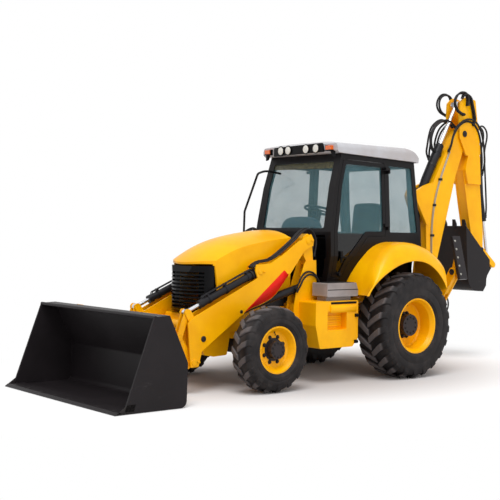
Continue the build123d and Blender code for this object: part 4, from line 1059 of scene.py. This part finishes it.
def make_roof_trim():
    """The vent on the roof, and the sun strip inside the top of the windscreen."""
    bm = bmesh.new()
    vent = [(-4, 60), (4, 58), (16, 44), (24, 40), (30, 28), (32, 8)]
    turned(bm, vent, at(0, 1790, 2903), (0, 0, 1), 28)
    add_piece("roof_vent", bm, "chassis", "roof_white")
    bm = bmesh.new()
    strip = ((-542, 2570), (548, 2556), (543, 2637), (-543, 2637))
    # The windscreen leans back by 0.2811 mm for each millimetre that it rises
    slab(bm, [at(x, 1165 + (z - 2333) * 0.2811, z) for x, z in strip], Vector((0, 0.0012, 0)), 0.0003)
    add_piece("windscreen_sun_strip", bm, "chassis", "sun_strip")


def make_cab_trim():
    """What is fixed to the cab, outside and inside."""
    make_doors_trim()
    make_lamps()
    make_roof_trim()
    make_dash()


def make_dash():
    """The rounded dash top behind the windscreen, and the consoles beside the seat and the dash."""
    bm = bmesh.new()
    rings = []
    for i in range(9):
        quarter = math.pi / 2 * i / 8
        spread = math.cos(quarter) ** 0.55
        ring = []
        for k in range(36):
            c, n = math.cos(2 * math.pi * k / 36), math.sin(2 * math.pi * k / 36)
            x = -60 + 330 * spread * math.copysign(abs(c) ** 0.7, c)
            y = 1275 + 125 * spread * math.copysign(abs(n) ** 0.7, n)
            ring.append(bm.verts.new(at(x, y, 1800 + 175 * math.sin(quarter))))
        rings.append(ring)
    skin(bm, rings, cap=False)
    bm.faces.new(list(reversed(rings[0])))
    bmesh.ops.remove_doubles(bm, verts=bm.verts[:], dist=0.0002)
    bmesh.ops.recalc_face_normals(bm, faces=bm.faces[:])
    add_piece("dash_top", bm, "chassis", "dash_plastic", 60)
    bm = bmesh.new()
    lever = [(0, 9), (70, 7), (74, 16), (104, 15), (112, 6)]
    for x0, x1, top in ((-560, -300, 1700), (330, 560, 1640)):
        block(bm, (x0, 1900, 1200), (x1, 2380, top), 0.02)
        for k in range(3):
            turned(bm, lever, at((x0 + x1) / 2 + 40 * (k - 1), 2000 + 60 * k, top), (0, 0, 1), 14)
    block(bm, (-420, 1130, 1200), (-250, 1300, 1790), 0.02)
    block(bm, (250, 1130, 1200), (400, 1300, 1760), 0.02)
    add_piece("cab_consoles", bm, "chassis", "interior_plastic")


# Tanks and steps


def make_tank_trim():
    """A black plate as the painted shade in each side tank's slot, the tank's tray, ribs and latches, the
    steps' grooves, and the rear guards.
    """
    def build(name, side):
        bm = bmesh.new()
        # Painted shade: this black plate stands in for the shade inside the slot under the tank's top.
        block(bm, (side * 846, 930, 940), (side * 853, 1350, 968), 0.003)
        for y, z in ((1346, 800), (1340, 488)):
            block(bm, (side * 846, y - 24, z - 20), (side * 872, y + 24, z + 20), 0.005)
            turned(bm, [(0, 15), (14, 15), (17, 11), (17, 3)], at(side * 872, y, z), (side, 0, 0), 16)
        add_piece(f"tank_latches_and_painted_slot_shade_{name}", bm, "chassis", "lamp_black")
        bm = bmesh.new()
        lip = [(848, 932), (864, 928), (872, 905), (868, 868), (858, 846), (848, 838)]
        slab(bm, [at(side * x, 920, z) for x, z in lip], Vector((0, 0.42, 0)), 0.006)
        rib = ((761, 664), (772, 676), (772, 690), (761, 702))
        for k in range(3):
            slab(bm, [at(side * x, 890, z + 54 * k) for x, z in rib], Vector((0, 0.29, 0)), 0.004)
        add_piece(f"tank_tray_{name}", bm, "chassis", "yellow_paint")
        bm = bmesh.new()
        block(bm, (side * 866, 856, 1106), (side * 871, 1355, 1116), 0.002)
        block(bm, (side * 640, 858, 1041), (side * 864, 1350, 1029), 0.002)
        for k in range(9):
            x = 640 + 24 * k
            block(bm, (side * x, 870, 1188), (side * (x + 10), 1318, 1193), 0.002)
        add_piece(f"step_grooves_{name}", bm, "chassis", "seal_rubber")
        bm = bmesh.new()
        guard = [(2590, 1000), (2640, 1000), (2650, 1300), (2600, 1560), (2570, 1560)]
        side_slab(bm, guard, side * 395, side * 560, 0.004)
        add_piece(f"rear_guard_{name}", bm, "chassis", "cab_black")
    both(build)


# Digging arm


def make_knuckle_hoses(thick):
    """Hoses from the boom over its knuckle to the dipper, beside it and behind it."""
    bm = bmesh.new()
    for side, out, d in ((1, 132, 0), (1, 155.8, 30.6), (-1, 132, 0), (-1, 155.8, 30.6)):
        over = [(3912 - d, 3010), (3939 - d, 3130), (4012 - d, 3250 + d), (4132, 3352 + d), (4287, 3394 + d),
                (4414 + d, 3350 + d), (4511 + d, 3253), (4560 + d, 3120), (4590 + d, 2950), (4606 + d, 2780)]
        start, end = at(side * 112, 3880, 2940), at(side * 108, 4600 + d, 2640)
        tube(bm, [start, *level(side * out, over), end], thick)
    joint = at(0, 3990, 3200), at(0, 4440, 3200)
    add_piece("knuckle_hoses", bm, ("boom", "dipper", *joint), "hose_rubber", 60)
    bm = bmesh.new()
    for x, d in ((-128, 0), (-160, 26)):
        over = [(3740 - d, 2900), (3769 - d, 3030), (3787 - d, 3130), (3838 - d, 3262 + d), (3927, 3348 + d),
                (4017, 3385 + d), (4100, 3382 + d)]
        tube(bm, [at(-100, 3730, 2800), *level(x, over), at(-124, 4170, 3330 + d)], thick)
    for x, d in ((-30, 0), (22, 40)):
        tube(bm, level(x, [(3800, 2880), (3700 - d, 2930), (3640 - d, 3060), (3690 - d, 3240), (3800, 3350),
                           (3930, 3390), (4050, 3360), (4120, 3300)]), thick)
    joint = at(0, 3800, 3100), at(0, 4110, 3330)
    add_piece("boom_head_hoses", bm, ("boom", "dipper", *joint), "hose_rubber", 60)


def make_dipper_hoses(thick):
    """The loops at the dipper's head, and the hoses down its back to the bucket's cylinder."""
    bm = bmesh.new()
    for x, d in ((138, 0), (168, 16), (-138, 0), (-168, 16)):
        loop = [(4040, 3490), (3970 - d, 3560), (3952 - d, 3640), (3990, 3722 + d), (4080, 3768 + d),
                (4189, 3760 + d), (4244, 3700)]
        tube(bm, [at(x * 0.94, 4150, 3470), *level(x, loop), at(x * 0.94, 4236, 3610)], thick)
    for x, d in ((142, 0), (172, 16)):
        fall = [(4134, 3752), (4204, 3776 - d), (4290, 3736 - d), (4316, 3640), (4356, 3540), (4380, 3440),
                (4385, 3400)]
        tube(bm, [at(132, 4130, 3700), *level(x, fall), at(132, 4384, 3340)], thick)
    add_piece("dipper_head_hoses", bm, "dipper", "hose_rubber", 60)
    bm = bmesh.new()
    for x, d in ((-26, 0), (26, 14)):
        down = [(4590, 3230), (4659, 3330 + d), (4740, 3352 + d), (4816 + d, 3300), (4832 + d, 3200),
                (4796 + d, 3090), (4768 + d, 2970), (4786 + d, 2769), (4814 + d, 2483), (4838 + d, 2196),
                (4848, 2090), (4838, 2030)]
        tube(bm, level(x, down), thick * 0.9)
    joint = at(0, 4780, 3250), at(0, 4780, 2900)
    add_piece("dipper_back_hoses", bm, ("dipper", "hoe_barrel", *joint), "hose_rubber", 60)


def make_boom_pipes():
    """The two fixed pipes along each side of the boom, and the clamps that hold them."""
    bm = bmesh.new()
    for x in (103, -103):
        for d in (0, 22):
            line = [(3900, 2930), (3835, 2800), (3690, 2500), (3620, 2300), (3575, 2100), (3548, 1889),
                    (3545, 1600), (3556, 1300), (3572, 1120)]
            tube(bm, level(x, [(y + d, z) for y, z in line]), 0.011)
    add_piece("boom_pipes", bm, "boom", "zinc", 60)
    bm = bmesh.new()
    for side in (1, -1):
        for y, z in ((3716, 2540), (3592, 2180), (3562, 1760), (3566, 1400)):
            block(bm, (side * 94, y - 26, z - 16), (side * 114, y + 46, z + 16), 0.004)
    add_piece("boom_pipe_clamps", bm, "boom", "cast_dark")


def make_hoe_hoses():
    """The digging arm's hoses, its fixed pipes, and the sleeve and pipe of the dipper's cylinder."""
    thick = bpy.context.scene.loader_sizes.hose
    make_knuckle_hoses(thick)
    make_dipper_hoses(thick)
    make_boom_pipes()
    bm = bmesh.new()
    for x in (-86, -66, 66, 86):
        fan = ((2, 2850, 978), (1.9, 2885, 1050), (1.5, 3020, 1130), (1.1, 3200, 1160),
               (1, 3340, 1150), (1, 3400, 1120), (1, 3432, 1092))
        tube(bm, [at(x * wide, y, z) for wide, y, z in fan], thick * 0.7)
    joint = at(0, 3080, 1000), at(0, 3400, 1000)
    add_piece("swing_hoses", bm, ("chassis", "swing_post", *joint), "hose_rubber", 60)
    bm = bmesh.new()
    run = (DIPPER_TIP - DIPPER_BASE).normalized()
    up = Vector((-run.y, run.x))
    lie = (0, run.x, run.y)
    sleeve = [(58, 46), (60, 56), (66, 59), (716, 59), (716, 61), (742, 61), (752, 58), (756, 50), (758, 40)]
    turned(bm, sleeve, at(0, *DIPPER_BASE), lie, 36)
    band = [(-14, 59), (-14, 64), (14, 64), (14, 59)]
    for d in (420, 640):
        turned(bm, band, at(0, *(DIPPER_BASE + run * d)), lie, 32, cap=False)
    climb = ((84, 50), (104, 74), (180, 76), (420, 76), (640, 76), (700, 74), (720, 50))
    tube(bm, level(0, [DIPPER_BASE + run * d + up * h for d, h in climb]), 0.018, fitting=False)
    add_piece("dipper_barrel_pipe", bm, "dipper_barrel", "black_steel", 50)


def make_stabiliser_trim():
    """Pin heads, the folded pad's bolts and a hose loop on each stabiliser."""
    def build(name, side):
        bm = bmesh.new()
        for (x, z), r in (((600, 640), 34), ((1010, 1300), 38), ((703, 882), 28)):
            head = [(0, r), (6, r), (9, r - 3), (9, r * 0.5), (6, r * 0.45), (6, 4)]
            for y, out in ((2900, -1), (3020, 1)):
                turned(bm, head, at(side * x, y, z), (0, out, 0), 24)
        add_piece(f"stabiliser_pins_{name}", bm, f"stabiliser_{name}", "cast_dark")
        bm = bmesh.new()
        out_x, out_z = PAD_OUT
        for k in range(5):
            rise = (k - 2) * 108
            seat = at(side * (1070 - rise * out_z + 19.6), 2918, 1480 + rise * out_x + 4.8)
            turned(bm, [(0, 15), (4, 15), (7, 12), (7, 4)], seat, (side * out_x, 0, out_z), 16)
        add_piece(f"stabiliser_pad_bolts_{name}", bm, f"stabiliser_{name}", "zinc")
        bm = bmesh.new()
        loop = ((650, 3016, 820), (680, 3046, 900), (740, 3056, 985), (815, 3056, 960),
                (838, 3056, 870), (815, 3056, 780), (745, 3050, 740), (690, 3016, 770))
        tube(bm, [at(side * x, y, z) for x, y, z in loop], 0.02)
        add_piece(f"stabiliser_hoses_{name}", bm, f"stabiliser_{name}", "hose_rubber", 60)
    both(build)


def make_hoe_teeth():
    """The pins that hold the digging bucket's teeth."""
    bm = bmesh.new()
    for x in (-255, -85, 85, 255):
        for side in (1, -1):
            where = at(x + side * 28.5, 4070, 1925)
            turned(bm, [(0, 9), (4, 9), (6, 6), (6, 2)], where, (side, 0, 0), 14)
    add_piece("tooth_pins", bm, "hoe_bucket", "cast_dark")


# Operators and panel


class LOADER_OT_finishes(bpy.types.Operator):
    """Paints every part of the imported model"""

    bl_idname = "loader.finishes"
    bl_label = "Finishes"

    def execute(self, context):
        make_finishes()
        return {"FINISHED"}


class LOADER_OT_stage(bpy.types.Operator):
    """Floor, light and camera"""

    bl_idname = "loader.stage"
    bl_label = "Stage"

    def execute(self, context):
        make_stage()
        return {"FINISHED"}


class LOADER_OT_tyres(bpy.types.Operator):
    """Lugged tyres in place of the plain ones"""

    bl_idname = "loader.tyres"
    bl_label = "Tyres"

    def execute(self, context):
        make_tyres()
        return {"FINISHED"}


class LOADER_OT_wheel_nuts(bpy.types.Operator):
    """Nuts, hub bolts and valves"""

    bl_idname = "loader.wheel_nuts"
    bl_label = "Wheel nuts"

    def execute(self, context):
        make_wheel_nuts()
        return {"FINISHED"}


class LOADER_OT_seat(bpy.types.Operator):
    """Cloth seat in place of the plain one"""

    bl_idname = "loader.seat"
    bl_label = "Seat"

    def execute(self, context):
        make_seat()
        return {"FINISHED"}


class LOADER_OT_stripe(bpy.types.Operator):
    """Red wedge along each loader arm, with its gusset plates"""

    bl_idname = "loader.stripe"
    bl_label = "Arm stripes"

    def execute(self, context):
        make_stripe()
        return {"FINISHED"}


class LOADER_OT_pins(bpy.types.Operator):
    """Collars and keeper plates at the pins"""

    bl_idname = "loader.pins"
    bl_label = "Pin caps"

    def execute(self, context):
        make_pins()
        return {"FINISHED"}


class LOADER_OT_edge_bolts(bpy.types.Operator):
    """Bolts of the loader bucket's edge"""

    bl_idname = "loader.edge_bolts"
    bl_label = "Edge bolts"

    def execute(self, context):
        make_edge_bolts()
        return {"FINISHED"}


class LOADER_OT_loader_hoses(bpy.types.Operator):
    """Hoses and pipes of the loader"""

    bl_idname = "loader.loader_hoses"
    bl_label = "Loader hoses"

    def execute(self, context):
        make_loader_hoses()
        return {"FINISHED"}


class LOADER_OT_grille(bpy.types.Operator):
    """Uprights behind the grille, and the hood's slot"""

    bl_idname = "loader.grille"
    bl_label = "Grille uprights"

    def execute(self, context):
        make_grille()
        return {"FINISHED"}


class LOADER_OT_cab_trim(bpy.types.Operator):
    """Handles, lamps, sun strip, dash and consoles"""

    bl_idname = "loader.cab_trim"
    bl_label = "Cab trim"

    def execute(self, context):
        make_cab_trim()
        return {"FINISHED"}


class LOADER_OT_tank_trim(bpy.types.Operator):
    """Trays, latches and grooves"""

    bl_idname = "loader.tank_trim"
    bl_label = "Tanks and steps"

    def execute(self, context):
        make_tank_trim()
        return {"FINISHED"}


class LOADER_OT_hoe_hoses(bpy.types.Operator):
    """Hoses and pipes of the digging arm"""

    bl_idname = "loader.hoe_hoses"
    bl_label = "Digging arm hoses"

    def execute(self, context):
        make_hoe_hoses()
        return {"FINISHED"}


class LOADER_OT_stabiliser_trim(bpy.types.Operator):
    """Pin heads, pad bolts and hose loops of the stabilisers"""

    bl_idname = "loader.stabiliser_trim"
    bl_label = "Stabiliser trim"

    def execute(self, context):
        make_stabiliser_trim()
        return {"FINISHED"}


class LOADER_OT_teeth(bpy.types.Operator):
    """Tooth pins of the digging bucket"""

    bl_idname = "loader.teeth"
    bl_label = "Bucket teeth"

    def execute(self, context):
        make_hoe_teeth()
        return {"FINISHED"}


class LOADER_PT_panel(bpy.types.Panel):
    """Lists the machine's colours, sizes and builders."""

    bl_idname = "LOADER_PT_panel"
    bl_label = "Backhoe loader"
    bl_space_type = "VIEW_3D"
    bl_region_type = "UI"
    bl_category = "Backhoe loader"

    def draw(self, context):
        for group in (context.scene.loader_colours, context.scene.loader_sizes):
            column = self.layout.column()
            for name in group.bl_rna.properties.keys():
                if name not in ("rna_type", "name"):
                    column.prop(group, name)
        for kind in OPERATORS:
            self.layout.operator(kind.bl_idname)


OPERATORS = (
    LOADER_OT_finishes, LOADER_OT_stage, LOADER_OT_tyres, LOADER_OT_wheel_nuts, LOADER_OT_seat,
    LOADER_OT_stripe, LOADER_OT_pins, LOADER_OT_edge_bolts, LOADER_OT_loader_hoses,
    LOADER_OT_grille, LOADER_OT_cab_trim, LOADER_OT_tank_trim, LOADER_OT_hoe_hoses,
    LOADER_OT_stabiliser_trim, LOADER_OT_teeth,
)
CLASSES = (LOADER_colours, LOADER_sizes, *OPERATORS, LOADER_PT_panel)


def register():
    """Makes Blender know the classes and the two groups of values."""
    for kind in CLASSES:
        bpy.utils.register_class(kind)
    bpy.types.Scene.loader_colours = bpy.props.PointerProperty(type=LOADER_colours)
    bpy.types.Scene.loader_sizes = bpy.props.PointerProperty(type=LOADER_sizes)


def unregister():
    """Takes them out again."""
    del bpy.types.Scene.loader_colours
    del bpy.types.Scene.loader_sizes
    for kind in reversed(CLASSES):
        bpy.utils.unregister_class(kind)


def main():
    """Builds everything."""
    register()
    bpy.ops.loader.finishes()
    bpy.ops.loader.stage()
    bpy.ops.loader.tyres()
    bpy.ops.loader.wheel_nuts()
    bpy.ops.loader.seat()
    bpy.ops.loader.stripe()
    bpy.ops.loader.pins()
    bpy.ops.loader.edge_bolts()
    bpy.ops.loader.loader_hoses()
    bpy.ops.loader.grille()
    bpy.ops.loader.cab_trim()
    bpy.ops.loader.tank_trim()
    bpy.ops.loader.hoe_hoses()
    bpy.ops.loader.stabiliser_trim()
    bpy.ops.loader.teeth()


if __name__ == "__main__":
    main()
